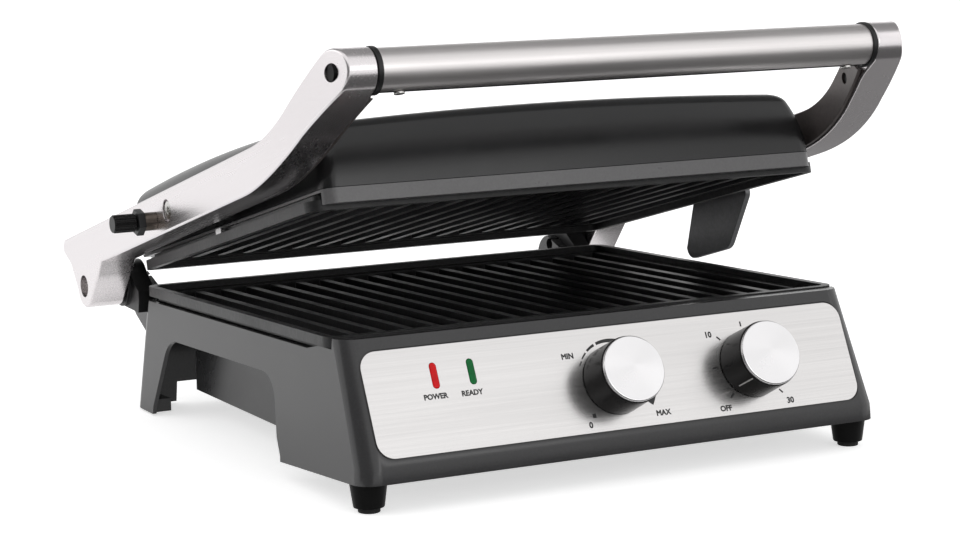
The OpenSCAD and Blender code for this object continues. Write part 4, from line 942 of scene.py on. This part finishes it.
# ------------------------------------------------------------
# Studio: a plain white sweep, a white surround with soft lamps, and a long lens.
# ------------------------------------------------------------
scene = bpy.context.scene
scene.view_settings.view_transform = "Standard"
ground = bmesh.new()
bmesh.ops.create_grid(ground, x_segments=1, y_segments=1, size=6.0)
floor_mesh = bpy.data.meshes.new("floor")
ground.to_mesh(floor_mesh)
ground.free()
floor = bpy.data.objects.new("floor", floor_mesh)
scene.collection.objects.link(floor)
floor_white = bpy.data.materials.new("floor_white")
floor_white.use_nodes = True
floor_tree = floor_white.node_tree
floor_shader = floor_tree.nodes["Principled BSDF"]
floor_shader.inputs["Base Color"].default_value = (0.9, 0.9, 0.9, 1)
floor_shader.inputs["Roughness"].default_value = 0.9
floor_shader.inputs["Specular IOR Level"].default_value = 0.1
path = node(floor_tree, "LightPath")
straight = node(floor_tree, "Math", {1: 0.62}, operation="MULTIPLY")
lift = node(floor_tree, "Math", {1: 0.4}, operation="MULTIPLY_ADD")
floor_shader.inputs["Emission Color"].default_value = (1, 1, 1, 1)
link = floor_tree.links.new
link(path.outputs["Is Camera Ray"], straight.inputs[0])
link(path.outputs["Is Glossy Ray"], lift.inputs[0])
link(straight.outputs[0], lift.inputs[2])
link(lift.outputs[0], floor_shader.inputs["Emission Strength"])
floor.data.materials.append(floor_white)

world = bpy.data.worlds.new("studio")
scene.world = world
world.use_nodes = True
sky = world.node_tree
sky.nodes.clear()
ambient = node(sky, "Background", {"Color": (1, 1, 1, 1), "Strength": 0.7})
backdrop = node(sky, "Background", {"Color": (1, 1, 1, 1), "Strength": 1.0})
ways = node(sky, "LightPath")
either = node(sky, "Math", operation="MAXIMUM")
any_seen = node(sky, "Math", operation="MAXIMUM")
choose = node(sky, "MixShader")
out = node(sky, "OutputWorld")
link = sky.links.new
link(ways.outputs["Is Camera Ray"], either.inputs[0])
link(ways.outputs["Is Glossy Ray"], either.inputs[1])
link(either.outputs[0], any_seen.inputs[0])
link(ways.outputs["Is Transmission Ray"], any_seen.inputs[1])
link(any_seen.outputs[0], choose.inputs["Fac"])
link(ambient.outputs[0], choose.inputs[1])
link(backdrop.outputs[0], choose.inputs[2])
link(choose.outputs[0], out.inputs["Surface"])


def softbox(name, place, size, power):
    """A rectangular lamp that looks at the middle of the grill."""
    data = bpy.data.lights.new(name, "AREA")
    data.shape, data.size, data.size_y, data.energy = "RECTANGLE", size[0], size[1], power
    lamp = bpy.data.objects.new(name, data)
    scene.collection.objects.link(lamp)
    lamp.location = place
    lamp.rotation_euler = (Vector(CENTRE) - Vector(place)).to_track_quat("-Z", "Y").to_euler()


CENTRE = (0.0, 0.0, 0.12)
softbox("key_front", (0.62, -2.76, 1.2), (1.8, 0.62), 5.3)
softbox("right_strip", (1.12, -0.78, 0.8), (0.12, 0.7), 0.25)
softbox("left_back", (-1.5, 0.5, 0.9), (1.2, 1.0), 2.4)


def flag(name, place, size, shade, target=CENTRE):
    """A grey card that shows only in reflections, as studio flags do."""
    card = bmesh.new()
    bmesh.ops.create_grid(card, x_segments=1, y_segments=1, size=0.5)
    bmesh.ops.scale(card, vec=(size[0], size[1], 1), verts=card.verts)
    turn = (Vector(target) - Vector(place)).to_track_quat("Z", "Y").to_matrix().to_4x4()
    bmesh.ops.transform(card, matrix=Matrix.Translation(place) @ turn, verts=card.verts)
    mesh = bpy.data.meshes.new(name)
    card.to_mesh(mesh)
    card.free()
    obj = bpy.data.objects.new(name, mesh)
    scene.collection.objects.link(obj)
    felt = bpy.data.materials.new(name)
    felt.use_nodes = True
    felt_shader = felt.node_tree.nodes["Principled BSDF"]
    felt_shader.inputs["Base Color"].default_value = (shade, shade, shade, 1)
    felt_shader.inputs["Specular IOR Level"].default_value = 0.0
    obj.data.materials.append(felt)
    obj.visible_camera = obj.visible_diffuse = False
    obj.visible_shadow = obj.visible_transmission = False


flag("flag_left", (-1.3, -0.65, 0.3), (1.9, 1.3), 0.25)
flag("flag_above", (0.3, 0.6, 1.5), (3.4, 1.8), 0.42)
flag("flag_floor", (0.5, -0.95, 0.004), (2.6, 1.5), 0.14, (0.5, -0.95, 1.0))
flag("flag_right", (0.78, 0.3, 0.004), (1.1, 1.0), 0.35, (0.78, 0.3, 1.0))

camera_data = bpy.data.cameras.new("camera")
camera_data.sensor_width = 36.0
camera_data.lens = 98.07
camera_data.clip_start, camera_data.clip_end = 0.05, 50.0
camera = bpy.data.objects.new("camera", camera_data)
scene.collection.objects.link(camera)
YAW, PITCH, ROLL = radians(28.116), radians(9.075), radians(0.652)
ahead = Vector((sin(YAW) * cos(PITCH), cos(YAW) * cos(PITCH), -sin(PITCH)))
camera.location = (-0.7550, -1.4000, 0.3496)
camera.rotation_mode = "QUATERNION"
camera.rotation_quaternion = (ahead.to_track_quat("-Z", "Y")
                              @ Matrix.Rotation(-ROLL, 3, "Z").to_quaternion())
scene.camera = camera
